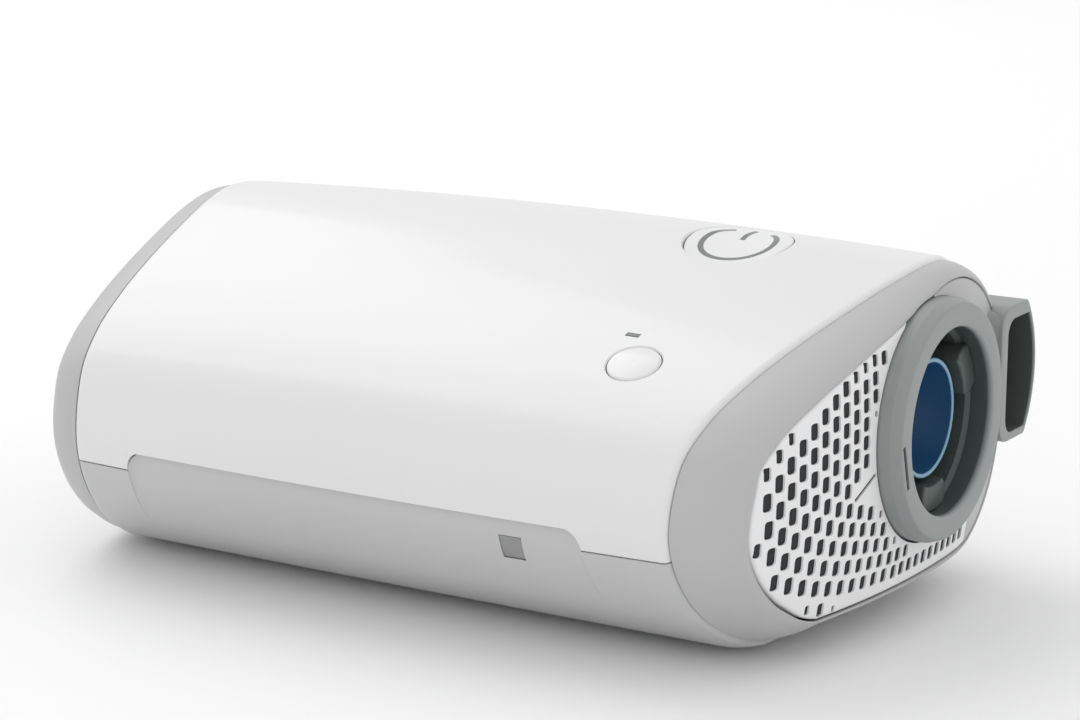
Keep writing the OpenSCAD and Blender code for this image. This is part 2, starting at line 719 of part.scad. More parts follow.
module key_form(x, y, radius, proud) {
    intersection() {
        key_frame(x, y) translate([0, 0, flange_top - flange_thick / 2])
            cylinder(h = wall + 4, r = radius);
        case_form(-proud);
    }
    key_frame(x, y) translate([0, 0, flange_top - flange_thick])
        cylinder(h = flange_thick, r = radius + 0.6);
    key_frame(x, y) translate([0, 0, stem_end]) cylinder(h = 0.6 - stem_end + flange_top, r = 2);
}

module start_button() {
    ball = (pow(start_radius, 2) + pow(start_dish, 2)) / (2 * start_dish);
    color(white) difference() {
        key_form(start_x, start_y, start_radius, 0);
        key_frame(start_x, start_y) translate([0, 0, ball - start_dish]) sphere(r = ball, $fn = 96);
    }
}
module pairing_button() {
    color(white) key_form(pairing_x, pairing_y, pairing_radius, pairing_proud);
}
module status_light() {
    depth = skin_lift(light_y) - board_top - 0.02;
    color("honeydew") intersection() {
        key_frame(start_x, light_y) translate([-light_size.x / 2, -light_size.y / 2, -depth])
            cube([light_size.x, light_size.y, depth + 3]);
        case_form(0);
    }
}
module scoop_window() {
    depth = wall + scoop_depth;
    color([0.6, 0.6, 0.62]) intersection() {
        window_block(0, depth);
        case_form(scoop_depth * 0.75);
    }
}

board_size = [18, 53];
board_mid = -17;
module board_plane(level) {
    p = key_origin(start_y);
    translate([0, p.x, p.y]) rotate([key_tilt, 0, 0]) translate([0, 0, level]) children();
}
module button_board() {
    mid = (start_x + pairing_x) / 2;
    color("seagreen") board_plane(board_top - button_board_thick)
        translate([mid - board_size.x / 2, board_mid - board_size.y / 2, 0])
            cube([board_size.x, board_size.y, button_board_thick]);
}
module key_switch(x, y, lift) {
    base = board_top - lift;
    color("dimgray") key_frame(x, y) {
        translate([-2.5, -2.5, base]) cube([5, 5, 1.2 + switch_tall(lift)]);
        translate([0, 0, base]) cylinder(h = switch_height + switch_tall(lift), r = 1.6);
    }
}
// Skin that lies above or below the tilted plane makes its switch taller or shorter by as much.
function switch_tall(lift) = lift;
module start_switch() {
    key_switch(start_x, start_y, 0);
}
module pairing_switch() {
    key_switch(pairing_x, pairing_y, skin_lift(pairing_y));
}
module board_posts() {
    mid = (start_x + pairing_x) / 2;
    post = 1.8;
    color(pale) for (side = [-1, 1], y = [start_y - 14, start_y - 28]) {
        lift = skin_lift(y) - wall - 0.6;
        key_frame(mid + side * (board_size.x / 2 - post), y)
            translate([0, 0, board_top - skin_lift(y)]) cylinder(h = lift - board_top, r = post);
    }
}

// ---- Base, chassis and boards ----

floor_z = foot_height + wall;
plate_top = floor_z + chassis_plate;
chassis_left = -50;
chassis_right = face_x - bow_length - 3;
chassis_front = -19;
chassis_back = 20;
foot_places = [[-44, -12], [41, -12], [-46, 16], [43, 16]];

module rubber_feet() {
    color([0.25, 0.25, 0.26]) for (p = foot_places)
        translate([p.x, p.y, 0]) cylinder(h = foot_height, r = foot_radius);
}

board_left = -51;
board_right = -14;
board_front = -23;
board_back = 19;
post_inset = 3.5;
post_radius = 2.5;
board_z = plate_top + 4.6;
screw_radius = 0.9;
board_corners = [
    for (x = [board_left + post_inset, board_right - post_inset])
        for (y = [chassis_front + post_inset, board_back - post_inset]) [x, y]
];

module chassis() {
    color(pale) difference() {
        union() {
            translate([chassis_left, chassis_front, floor_z])
                cube([chassis_right - chassis_left, chassis_back - chassis_front, chassis_plate]);
            for (p = board_corners) translate([p.x, p.y, floor_z])
                cylinder(h = board_z - floor_z, r = post_radius);
            translate([blower_x, blower_y, plate_top]) difference() {
                cylinder(h = 2, r = boot_radius + 1.7);
                translate([0, 0, -1]) cylinder(h = 4, r = boot_radius + part_gap);
            }
        }
        for (p = board_corners) translate([p.x, p.y, floor_z + 1])
            cylinder(h = board_z, r = screw_radius + 0.05);
    }
}
module main_board() {
    color("seagreen") difference() {
        translate([board_left, board_front, board_z])
            cube([board_right - board_left, board_back - board_front, board_thickness]);
        for (p = board_corners) translate([p.x, p.y, board_z - 1])
            cylinder(h = board_thickness + 2, r = screw_radius + 0.2);
    }
}
board_face = board_z + board_thickness;
module board_components() {
    color([0.15, 0.15, 0.17]) {
        for (i = [0:2]) translate([-41 + 8 * i, 12, board_face]) cylinder(h = 9, r = 3.2);
        translate([-40, -3, board_face]) cube([9, 9, 1.4]);
        translate([-26, -4, board_face]) cube([7, 7, 1.2]);
        translate([-29, -14, board_face]) cube([8, 5, 4]);
        translate([board_right - 5.5, 3, board_face]) cube([5, 10, 5]);
        translate([board_right - 4, board_front + 0.2, board_face]) cube([3.6, 5, 2.4]);
    }
}
module wireless_module() {
    color("silver") {
        translate([-46, -12, board_face]) cube([14, 9, 1]);
        translate([-45.4, -11.4, board_face + 1]) cube([9, 7.8, 1.6]);
    }
}
module board_screws() {
    color("lightgray") for (p = board_corners) {
        translate([p.x, p.y, board_face]) cylinder(h = 1.4, r = 2);
        translate([p.x, p.y, board_z - 3]) cylinder(h = board_thickness + 3.5, r = screw_radius);
    }
}

// ---- Blower ----

blower_y = port_y - scroll_radius + spout_radius;
boot_radius = can_radius + 1.5;
scroll_half = spout_radius + 0.3;
scroll_wall = 1.5;
scroll_floor = port_z - scroll_half;
scroll_top = port_z + scroll_half;
spout_end = blower_x + scroll_radius + 4;
can_floor = plate_top + 4.2;
bearing_radius = 4;
bearing_height = 2;
bearing_bore = shaft_radius + shaft_clearance;
inlet_radius = 7.5;

module at_blower(z) {
    translate([blower_x, blower_y, z]) children();
}
module spout(radius, x0, x1) {
    translate([x0, port_y, port_z]) rotate([0, 90, 0]) cylinder(h = x1 - x0, r = radius);
}
lug_places = [110, 200, 300];
lug_reach = scroll_radius + 2.05;
module scroll_half_form(top) {
    z = top ? port_z : scroll_floor;
    difference() {
        intersection() {
            union() {
                at_blower(scroll_floor) cylinder(h = 2 * scroll_half, r = scroll_radius);
                spout(spout_radius, blower_x, spout_end);
                for (a = lug_places) at_blower(port_z - 2) rotate([0, 0, a])
                    translate([lug_reach, 0, 0]) cylinder(h = 4, r = 2.4);
            }
            translate([-body_length / 2, -body_depth / 2, z]) cube([body_length, body_depth, scroll_half]);
        }
        at_blower(scroll_floor + scroll_wall)
            cylinder(h = 2 * (scroll_half - scroll_wall), r = scroll_radius - scroll_wall);
        spout(spout_radius - scroll_wall, blower_x, spout_end + 1);
        for (a = lug_places) at_blower(port_z - 3) rotate([0, 0, a])
            translate([lug_reach, 0, 0]) cylinder(h = 6, r = screw_radius + 0.1);
        if (top) at_blower(port_z - 1) cylinder(h = scroll_half + 2, r = inlet_radius);
        else at_blower(scroll_floor - 1) cylinder(h = scroll_half, r = bearing_radius + 0.02);
    }
}
module volute_base() {
    color(dark) scroll_half_form(false);
}
module volute_cover() {
    color(dark) scroll_half_form(true);
}
module volute_screws() {
    color("lightgray") for (a = lug_places) at_blower(0) rotate([0, 0, a])
        translate([lug_reach, 0, 0]) {
            translate([0, 0, port_z + 2]) cylinder(h = 1.2, r = 1.8);
            translate([0, 0, port_z - 2]) cylinder(h = 4.5, r = screw_radius);
        }
}

hub_radius = 4;
impeller_floor = scroll_floor + scroll_wall + 1;
impeller_height = 2 * scroll_half - 2 * scroll_wall - 2;
module impeller() {
    disc = 1;
    color("whitesmoke") at_blower(impeller_floor) difference() {
        union() {
            cylinder(h = disc, r = impeller_radius);
            cylinder(h = impeller_height, r = hub_radius);
            translate([0, 0, disc / 2]) linear_extrude(impeller_height - disc) blade_plan();
        }
        translate([0, 0, -1]) cylinder(h = impeller_height + 2, r = shaft_radius);
    }
}
// Blades leave the hub straight and bow back, each an arc of the impeller's own radius.
module blade_plan() {
    blade = 0.8;
    for (i = [0:blade_count - 1]) rotate(i * 360 / blade_count) intersection() {
        translate([0, impeller_radius]) difference() {
            circle(r = impeller_radius + blade / 2);
            circle(r = impeller_radius - blade / 2);
        }
        difference() {
            circle(r = impeller_radius - 0.4);
            circle(r = hub_radius - 1);
            translate([-body_length, -body_depth]) square([body_length, 2 * body_depth]);
        }
    }
}
module motor_shaft() {
    bottom = can_floor + 1.2;
    color("silver") at_blower(bottom)
        cylinder(h = impeller_floor + impeller_height - bottom - 0.5, r = shaft_radius);
}
rotor_bottom = can_floor + 1 + bearing_height + 0.8;
rotor_top = scroll_floor - 1;
rotor_radius = 5.5;
module motor_rotor() {
    color("dimgray") at_blower(rotor_bottom) difference() {
        cylinder(h = rotor_top - rotor_bottom, r = rotor_radius);
        translate([0, 0, -1]) cylinder(h = scroll_floor, r = shaft_radius);
    }
}
module motor_stator() {
    teeth = 6;
    color([0.72, 0.45, 0.2]) at_blower(rotor_bottom + 0.5) difference() {
        cylinder(h = rotor_top - rotor_bottom - 1, r = can_radius - 1);
        translate([0, 0, -1]) cylinder(h = scroll_floor, r = rotor_radius + 0.5);
        for (i = [0:teeth - 1]) rotate([0, 0, i * 360 / teeth])
            translate([can_radius - 4, 0, -1]) cylinder(h = scroll_floor, r = 1.3);
    }
}
module motor_can() {
    color("silver") at_blower(can_floor) difference() {
        cylinder(h = scroll_floor - can_floor, r = can_radius);
        translate([0, 0, 1]) cylinder(h = scroll_floor, r = bearing_radius + 0.02);
        translate([0, 0, 1 + bearing_height]) cylinder(h = scroll_floor, r = can_radius - 0.98);
    }
}
module bearing(z) {
    color("silver") at_blower(z) difference() {
        cylinder(h = bearing_height, r = bearing_radius);
        translate([0, 0, -1]) cylinder(h = bearing_height + 2, r = bearing_bore);
    }
}
module lower_bearing() {
    bearing(can_floor + 1);
}
module upper_bearing() {
    bearing(scroll_floor - 0.6);
}
module blower_boot() {
    ribs = 3;
    color([0.3, 0.3, 0.32]) at_blower(plate_top) rotate_extrude() polygon(concat(
        [[can_radius - 4, 0], [boot_radius, 0]],
        [for (i = [0:ribs - 1]) each [[boot_radius, 1.2 * i + 0.6], [boot_radius - 0.9, 1.2 * i + 1.2]]],
        [[boot_radius, can_floor - plate_top], [can_radius - 4, can_floor - plate_top]]
    ));
}
module inlet_foam() {
    color([0.35, 0.36, 0.38]) at_blower(scroll_top) difference() {
        cylinder(h = 3.4, r = 13);
        translate([0, 0, -1]) cylinder(h = 6, r = inlet_radius + 0.5);
    }
}

duct_left = spout_end - 4;
duct_right = bulkhead_x;
module outlet_duct() {
    soft = 1.4;
    folds = 3;
    neck_start = bulkhead_x - 3.5;
    first_fold = spout_end + 1;
    pitch = (neck_start - first_fold) / folds;
    inner_small = spout_radius + 0.05;
    inner_large = neck_radius + 0.05;
    function mid(i) = lerp(inner_small, inner_large, i / folds);
    color([0.42, 0.44, 0.45]) on_port_axis() rotate_extrude() polygon(concat(
        [[inner_small, duct_left], [inner_small + soft, duct_left], [inner_small + soft, first_fold]],
        [for (i = [0:folds - 1]) each [
            [mid(i) + soft + 1, first_fold + pitch * (i + 0.35)],
            [mid(i) + soft + 1, first_fold + pitch * (i + 0.65)],
            [mid(i + 1) + soft, first_fold + pitch * (i + 1)]]],
        [[inner_large + soft, duct_right], [inner_large, duct_right], [inner_large, neck_start]],
        [for (i = [folds - 1:-1:0]) each [
            [mid(i) + 1, first_fold + pitch * (i + 0.65)],
            [mid(i) + 1, first_fold + pitch * (i + 0.35)],
            [mid(i), first_fold + pitch * i]]],
        [[inner_small, spout_end]]
    ));
}
sensor_x = blower_x + 11;
module flow_sensor() {
    color([0.2, 0.22, 0.25]) difference() {
        translate([sensor_x, port_y - 3, scroll_top - 2.5]) cube([7, 7, 6.5]);
        spout(spout_radius + 0.05, blower_x, spout_end);
        at_blower(0) cylinder(h = scroll_top, r = scroll_radius + 0.1);
    }
}
// A straight length along the way ahead, then what follows it
module run(length, radius) {
    cylinder(h = length, r = radius, $fn = 24);
    translate([0, 0, length]) children();
}
// A quarter bend towards a heading, then what follows it
module bend(heading, radius, turn) {
    rotate([0, 0, heading]) {
        translate([turn, 0, 0]) rotate([90, 0, 0]) rotate([0, 0, 90])
            rotate_extrude(angle = 90, $fn = 48) translate([turn, 0]) circle(r = radius, $fn = 24);
        translate([turn, 0, turn]) rotate([0, 90, 0]) children();
    }
}
// From the sensor, round the duct and down to the neck
module sensor_tube() {
    radius = 1;
    turn = 1.5;
    level = scroll_top + 2.4;
    first_x = sensor_x + 7.8;
    turn_x = sensor_x + 11;
    far = bulkhead_x - 1.6;
    first_y = port_y + 2.5;
    side_y = port_y + neck_radius;
    drop = level - port_z - neck_radius * 0.78;
    color([0.8, 0.8, 0.82]) translate([first_x, first_y, level]) rotate([0, 90, 0])
        run(turn_x - first_x - turn, radius) bend(90, radius, turn)
        run(side_y - first_y - 2 * turn, radius) bend(180, radius, turn)
        run(far - turn_x - 2 * turn, radius) bend(90, radius, turn)
        run(drop - turn, radius);
}
// Two wires from the socket, down the back corner and across to the board
module power_harness() {
    radius = 0.8;
    turn = 1.6;
    drop_x = bulkhead_x - 6;
    level = board_face + 2.5;
    color([0.1, 0.1, 0.12]) for (side = [-1, 1]) {
        first_y = wire_y + side;
        turn_x = board_right + 3.5 - side;
        last_y = 8 + side * 1.5;
        translate([core_front, first_y, hood_z]) rotate([0, -90, 0])
            run(core_front - drop_x - turn, radius) bend(180, radius, turn)
            run(hood_z - level - 2 * turn, radius) bend(180, radius, turn)
            run(drop_x - turn_x - 2 * turn, radius) bend(-90, radius, turn)
            run(first_y - last_y - 2 * turn, radius) bend(180, radius, turn)
            run(turn_x - turn - board_right - 0.4, radius);
    }
}
module ribbon_cable() {
    thick = 0.4;
    width = 5;
    drop_x = (start_x + pairing_x) / 2 - board_size.x / 2 - 0.4;
    top_z = key_origin(board_front).y + board_top - 2;
    level = board_face + 5;
    end_x = board_right - 0.4;
    color("orange") translate([0, board_front + width, 0]) rotate([90, 0, 0]) linear_extrude(width) polygon([
        [drop_x, top_z], [drop_x - thick, top_z], [drop_x - thick, level + thick],
        [end_x + 5, level + thick], [end_x, board_face + 1.4], [end_x, board_face + 0.8],
        [end_x + 5, level], [drop_x, level]
    ]);
}

upper_shell();
lower_shell();
far_end_cap();
port_bezel();
port_bulkhead();
filter_cover();
filter_pad();
outlet_collar();
outlet_nozzle();
inlet_surround();
socket_core();
socket_contacts();
start_button();
pairing_button();
status_light();
scoop_window();
button_board();
start_switch();
pairing_switch();
board_posts();
rubber_feet();
chassis();
main_board();
board_components();
wireless_module();
board_screws();
volute_base();
volute_cover();
volute_screws();
impeller();
motor_shaft();
motor_rotor();
motor_stator();
motor_can();
lower_bearing();
upper_bearing();
blower_boot();
inlet_foam();
outlet_duct();
flow_sensor();
sensor_tube();
power_harness();
ribbon_cable();
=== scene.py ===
import json
import math

import bpy
import numpy as np
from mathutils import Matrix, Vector


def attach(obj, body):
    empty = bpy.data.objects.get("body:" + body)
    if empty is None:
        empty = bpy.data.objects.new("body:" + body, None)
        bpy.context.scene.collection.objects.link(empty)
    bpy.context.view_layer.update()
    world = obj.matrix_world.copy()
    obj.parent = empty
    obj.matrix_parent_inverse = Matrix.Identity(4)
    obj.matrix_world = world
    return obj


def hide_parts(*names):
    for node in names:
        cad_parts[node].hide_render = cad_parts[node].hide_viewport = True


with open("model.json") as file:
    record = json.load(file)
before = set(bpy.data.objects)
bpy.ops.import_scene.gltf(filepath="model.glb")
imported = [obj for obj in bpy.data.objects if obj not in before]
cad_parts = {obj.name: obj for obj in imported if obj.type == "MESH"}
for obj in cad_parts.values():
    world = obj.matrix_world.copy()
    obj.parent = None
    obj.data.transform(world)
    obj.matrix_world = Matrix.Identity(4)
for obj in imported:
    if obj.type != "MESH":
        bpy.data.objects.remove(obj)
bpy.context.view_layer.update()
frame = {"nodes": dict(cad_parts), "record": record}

MM = 0.001


# ---- Camera -------------------------------------------------------------------------------
# A long lens looks at the port end from the front, a little from above, as in the photograph.
# The small shift puts the machine where it sits in the frame.
azimuth = math.radians(32.3)
elevation = math.radians(13.6)
distance = 0.459
focus = Vector((0, 0, 0.026))
forward = Vector((
    -math.sin(azimuth) * math.cos(elevation),
    math.cos(azimuth) * math.cos(elevation),
    -math.sin(elevation),
))
camera_data = bpy.data.cameras.new("camera")
camera_data.sensor_width = 36
camera_data.lens = 102.2
camera_data.shift_x = 0.025
camera_data.shift_y = 0.0324
camera = bpy.data.objects.new("camera", camera_data)
camera.location = focus - forward * distance
camera.rotation_euler = forward.to_track_quat("-Z", "Y").to_euler()
bpy.context.scene.collection.objects.link(camera)
bpy.context.scene.camera = camera


# ---- Blower, boards and wires -------------------------------------------------------------
# The parts inside are plain mouldings, turned metal, boards and wire. They keep the form of
# their solids, and each takes the finish of its own stock as a pattern on its coordinates.
slot_of_node = {row["node"]: row["material_slot"] for row in frame["record"]["subparts"]}
drift_size = 30 * MM
gloss_size = 9 * MM
gloss_swing = 0.08
fine_grain = 0.4 * MM
grain_depth = 0.004 * MM


class Field:
    """A number or vector that varies over a surface. Operators on Fields make Math nodes."""

    def __init__(self, material, socket):
        self.material = material
        self.socket = socket

    def _math(self, operation, *values):
        return self.material.node("ShaderNodeMath", {"operation": operation}, values)

    def __add__(self, other):
        return self._math("ADD", self, other)

    __radd__ = __add__

    def __sub__(self, other):
        return self._math("SUBTRACT", self, other)

    def __rsub__(self, other):
        return self._math("SUBTRACT", other, self)

    def __mul__(self, other):
        return self._math("MULTIPLY", self, other)

    __rmul__ = __mul__

    def __pow__(self, other):
        return self._math("POWER", self, other)

    def step(self, low, high):
        """Goes smoothly from 0 at low to 1 at high, both in millimetres."""
        settings = {"interpolation_type": "SMOOTHSTEP"}
        return self.material.node("ShaderNodeMapRange", settings, (self, low * MM, high * MM, 0.0, 1.0))

    def between(self, low, high, fade):
        """Is 1 between low and high, and fades to 0 just inside each."""
        return self.step(low, low + fade) * (1 - self.step(high - fade, high))


class Surface:
    """A procedural material on object coordinates, which the CAD nodes of its slot take."""

    def __init__(self, slot):
        self.data = bpy.data.materials.new(slot)
        self.data.use_nodes = True
        self.tree = self.data.node_tree
        self.shader = self.tree.nodes["Principled BSDF"]
        self.place = Field(self, self.tree.nodes.new("ShaderNodeTexCoord").outputs["Object"])
        for node, thing in frame["nodes"].items():
            if slot_of_node[node] == slot:
                thing.data.materials.clear()
                thing.data.materials.append(self.data)

    def node(self, kind, settings=None, inputs=(), output=0):
        made = self.tree.nodes.new(kind)
        for key, value in (settings or {}).items():
            setattr(made, key, value)
        pairs = inputs.items() if isinstance(inputs, dict) else enumerate(inputs)
        for key, value in pairs:
            if isinstance(value, Field):
                self.tree.links.new(value.socket, made.inputs[key])
            else:
                made.inputs[key].default_value = value
        return Field(self, made.outputs[output])

    def axis(self, number):
        """The place along X, Y or Z: 0, 1 or 2."""
        return self.node("ShaderNodeSeparateXYZ", {}, (self.place,), output=number)

    def noise(self, size, detail=2.0):
        """Even noise from 0 to 1 whose blobs are about size across."""
        inputs = {"Vector": self.place, "Scale": 1 / size, "Detail": detail}
        return self.node("ShaderNodeTexNoise", {}, inputs)

    def blend(self, factor, first, second):
        """Mixes two colours, which are inputs 6 and 7 and output 2 of a Mix node."""
        inputs = {0: factor, 6: (*first, 1), 7: (*second, 1)}
        return self.node("ShaderNodeMix", {"data_type": "RGBA"}, inputs, output=2)

    def feed(self, socket, field):
        self.tree.links.new(field.socket, self.shader.inputs[socket])

    def gloss(self, roughness):
        self.feed("Roughness", roughness + (self.noise(gloss_size) - 0.5) * gloss_swing)

    def bump(self, height, distance):
        inputs = {"Strength": 1.0, "Distance": distance, "Height": height}
        self.feed("Normal", self.node("ShaderNodeBump", {}, inputs))

    def constant(self, **values):
        for key, value in values.items():
            self.shader.inputs[key.replace("_", " ")].default_value = value


def moulded(slot, color, roughness, grain=fine_grain, depth=grain_depth, spread=0.03, coat=0.0):
    """Moulded plastic, rubber or foam: slow colour drift, uneven gloss and a fine grain."""
    made = Surface(slot)
    low = tuple(c * (1 - spread) for c in color)
    high = tuple(min(1, c * (1 + spread)) for c in color)
    made.feed("Base Color", made.blend(made.noise(drift_size, 3.0), low, high))
    made.gloss(roughness)
    made.bump(made.noise(grain, 1.0), depth)
    if coat:
        made.constant(Coat_Weight=coat, Coat_Roughness=0.08)
    return made.data


def metal(slot, color, roughness, grain=0.6 * MM):
    """Turned, drawn or wound metal with fine wear."""
    made = Surface(slot)
    made.constant(Metallic=1.0)
    worn = tuple(c * 0.85 for c in color)
    made.feed("Base Color", made.blend(made.noise(6 * MM, 4.0), worn, color))
    made.feed("Roughness", roughness + (made.noise(grain) - 0.5) * 0.15)
    made.bump(made.noise(grain), 0.01 * MM)


moulded("inner_plastic", (0.55, 0.56, 0.56), 0.5)
moulded("board_green", (0.015, 0.12, 0.05), 0.4, 0.8 * MM, 0.02 * MM, 0.15)
moulded("component_black", (0.02, 0.02, 0.022), 0.45)
moulded("blower_plastic", (0.06, 0.065, 0.065), 0.45)
moulded("impeller_white", (0.7, 0.7, 0.68), 0.4)
moulded("boot_rubber", (0.06, 0.065, 0.065), 0.7, 0.3 * MM, 0.02 * MM, 0.1)
moulded("foam_dark", (0.04, 0.042, 0.045), 0.95, 0.9 * MM, 0.3 * MM, 0.3)
moulded("tube_clear", (0.55, 0.56, 0.58), 0.3)
moulded("wire_black", (0.02, 0.02, 0.022), 0.4)
moulded("ribbon_tan", (0.45, 0.2, 0.05), 0.35, 0.7 * MM, 0.03 * MM, 0.15)
metal("can_metal", (0.75, 0.75, 0.77), 0.35)
metal("screw_steel", (0.6, 0.6, 0.62), 0.3)
metal("rotor_iron", (0.3, 0.3, 0.31), 0.5)
metal("winding_copper", (0.7, 0.3, 0.12), 0.3, 0.3 * MM)


# ---- Shells -------------------------------------------------------------------------------
# Two curved sheets of white and paler plastic stand on rubber feet. They meet on a line that
# steps up over the long front scoop, and their ends roll inwards to the grey parts. Sizes are
# in millimetres, and every outer piece follows the same closed section, carried along X.
shell_white = moulded("shell_white", (0.74, 0.74, 0.745), 0.32, spread=0.01, coat=0.25)
shell_pale = moulded("shell_pale", (0.52, 0.52, 0.525), 0.36, spread=0.02, coat=0.15)
moulded("foot_rubber", (0.035, 0.035, 0.037), 0.8, 0.3 * MM, 0.03 * MM, 0.1)
length = 136
depth = 84
height = 52
foot = 0.8
wall = 2
knots = np.array([
    (-0.5, 0.395), (-0.474, 0.588), (-0.405, 0.703), (-0.304, 0.788), (-0.185, 0.86),
    (-0.06, 0.922), (0.06, 0.974), (0.167, 1), (0.274, 0.978), (0.375, 0.895),
    (0.457, 0.74), (0.498, 0.54), (0.496, 0.345), (0.452, 0.165), (0.369, 0.046),
    (0.262, 0), (0, 0), (-0.238, 0), (-0.369, 0.09), (-0.459, 0.228),
])
knot_count = len(knots)
crown_knot = 7
base_back_knot = 13
base_front_knot = 17


def share_curve(u):
    """A smooth curve through the knots; u counts them from the nose, over the top."""
    u = np.asarray(u, float)
    i = np.floor(u).astype(int)
    t = (u - i)[..., None]
    a, b, c, d = (knots[(i + k) % knot_count] for k in (-1, 0, 1, 2))
    p = 0.5 * (2 * b + (c - a) * t + (2 * a - 5 * b + 4 * c - d) * t**2 + (3 * b - a - 3 * c + d) * t**3)
    p[..., 1] = np.maximum(p[..., 1], 0)
    return p


share = share_curve(np.arange(knot_count * 3) / 3)
share_low = share[:, 0].min()
share_high = share[:, 0].max()
share_top = share[:, 1].max()


def section(u):
    """The case's section as (y, z)."""
    p = share_curve(u)
    y = ((p[..., 0] - share_low) / (share_high - share_low) - 0.5) * depth
    z = foot + p[..., 1] / share_top * (height - foot)
    return np.stack([y, z], -1)


def outward(u):
    d = section(u + 0.05) - section(u - 0.05)
    return np.stack([-d[..., 1], d[..., 0]], -1) / np.linalg.norm(d, axis=-1)[..., None]


crown_drop = 1.8
face_x = length / 2 - 2.4
bezel_reach = 4.9
bow_slope = 0.35
bow_length = 17
bow_bend = 4


def case_points(u, x, inset):
    """Points inset from the skin, which sinks towards both ends and rises under the port."""
    u, x, inset = np.broadcast_arrays(np.asarray(u, float), x, inset)
    n = outward(u)
    down = np.minimum(0, n[..., 1]) ** 2
    crown = crown_drop * (2 * x / length) ** 2 * (1 - down)
    d = np.clip(np.minimum(x, face_x - bezel_reach) - face_x + bow_length, 0, None)
    bow = bow_slope * np.where(d < bow_bend, d**2 / bow_bend / 2, d - bow_bend / 2) * down
    yz = section(u) - n * (inset + crown + bow)[..., None]
    return np.concatenate([x[..., None], yz], -1)


port_slant = 0.22
far_slant = 0.235
slant_round = 6
cap_depth = 5.4
crown_y = section(crown_knot)[0]


def set_back(y):
    return np.sqrt((y - crown_y) ** 2 + slant_round**2) - slant_round


def far_face(y):
    return -length / 2 + far_slant * set_back(y)


def shell_left(u):
    return far_face(section(u)[..., 0]) + cap_depth


def shell_right(u):
    return face_x - bezel_reach - port_slant * set_back(section(u)[..., 0])


def find_height(z, low, high, rising):
    for _ in range(30):
        middle = (low + high) / 2
        below = section(middle)[1] < z
        low, high = (middle, high) if below == rising else (low, middle)
    return (low + high) / 2


def front_at(z):
    return find_height(z, -1, 2, True)


def back_at(z):
    return find_height(z, 11, 13, False)


seam_z = 17.5
seam_gap = 0.25
scoop_top = 20.4
scoop_bottom = 8.5
scoop_depth = 0.8
scoop_left = -41
scoop_right = 36.5
scoop_corner = 2.5
roll = 1.0
nose_u = front_at(seam_z)
nose_left = float(shell_left(nose_u)) + roll
nose_right = float(shell_right(nose_u)) - roll


def rise(share):
    """How far the seam has stepped up, from 0 to 1, at a share of the way along the nose."""
    x = nose_left + share * (nose_right - nose_left)
    d = np.clip(np.minimum(x - scoop_left, scoop_right - x) / scoop_corner, 0, 1)
    return np.sqrt(1 - (1 - d) ** 2)


corner = (1 - np.cos(np.linspace(0, math.pi / 2, 10))) * scoop_corner
share_x = np.concatenate([
    np.linspace(nose_left, scoop_left - 0.6, 12), [scoop_left - 0.2], scoop_left + corner,
    np.linspace(scoop_left + scoop_corner, scoop_right - scoop_corner, 60)[1:-1],
    scoop_right - corner[::-1], [scoop_right + 0.2], np.linspace(scoop_right + 0.6, nose_right, 14),
])
shares = (share_x - nose_left) / (nose_right - nose_left)
turn = np.radians(np.linspace(90, 10, 8))
stations = np.array(
    [(0, -roll * math.sin(a), roll * (1 - math.cos(a))) for a in turn]
    + [(s, 0, 0) for s in shares]
    + [(1, roll * math.sin(a), roll * (1 - math.cos(a))) for a in turn[::-1]]
)


def shell_grid(upper, inside):
    """A shell's outer or inner face, as rows of points from the far end to the port end."""
    rows = []
    for s, offset, inset in stations:
        lift = float(rise(s))
        seam = seam_z + (scoop_top - seam_z) * lift
        gap = seam_gap / 2 if upper else -seam_gap / 2
        front_u = front_at(seam + gap)
        back_u = back_at(seam_z + gap)
        if upper:
            runs = (np.linspace(front_u, 1, 10), np.linspace(1, 11, 101)[1:-1], np.linspace(11, back_u, 10))
            u = np.concatenate(runs)
            scoop = 0 * u
        else:
            runs = (
                np.linspace(back_u, base_back_knot, 8),
                np.linspace(base_back_knot, base_front_knot, 33)[1:-1],
                np.linspace(base_front_knot, knot_count + front_u, 30),
            )
            u = np.concatenate(runs)
            z = section(u)[:, 1]
            fade = np.clip((z - scoop_bottom) / (scoop_top - scoop_bottom), 0, 1) ** 0.8
            scoop = np.where(u > base_front_knot, scoop_depth * lift * fade, 0)
        left = shell_left(u) + roll
        right = shell_right(u) - roll
        x = left + (right - left) * s + offset
        rows.append(case_points(u, x, (wall if inside else inset) + scoop))
    return np.array(rows)


def mesh_object(name, points, faces, material, smooth=35):
    """A mesh from points in millimetres, with edges over smooth degrees kept sharp."""
    mesh = bpy.data.meshes.new(name)
    mesh.from_pydata((np.asarray(points) * MM).tolist(), [], [list(map(int, f)) for f in faces])
    mesh.validate()
    mesh.materials.append(material)
    thing = bpy.data.objects.new(name, mesh)
    bpy.context.scene.collection.objects.link(thing)
    bpy.context.view_layer.objects.active = thing
    thing.select_set(True)
    bpy.ops.object.mode_set(mode="EDIT")
    bpy.ops.mesh.select_all(action="SELECT")
    bpy.ops.mesh.normals_make_consistent(inside=False)
    bpy.ops.object.mode_set(mode="OBJECT")
    thing.select_set(False)
    mesh.shade_smooth()
    mesh.set_sharp_from_angle(angle=math.radians(smooth))
    return thing


def strip(shape, around=False, along=False):
    """The quads of a grid of points, rows x columns, closed across columns or rows if asked."""
    m, n = shape
    i, j = np.meshgrid(np.arange(m if along else m - 1), np.arange(n if around else n - 1), indexing="ij")
    i2, j2 = (i + 1) % m, (j + 1) % n
    return np.stack([i * n + j, i * n + j2, i2 * n + j2, i2 * n + j], -1).reshape(-1, 4)


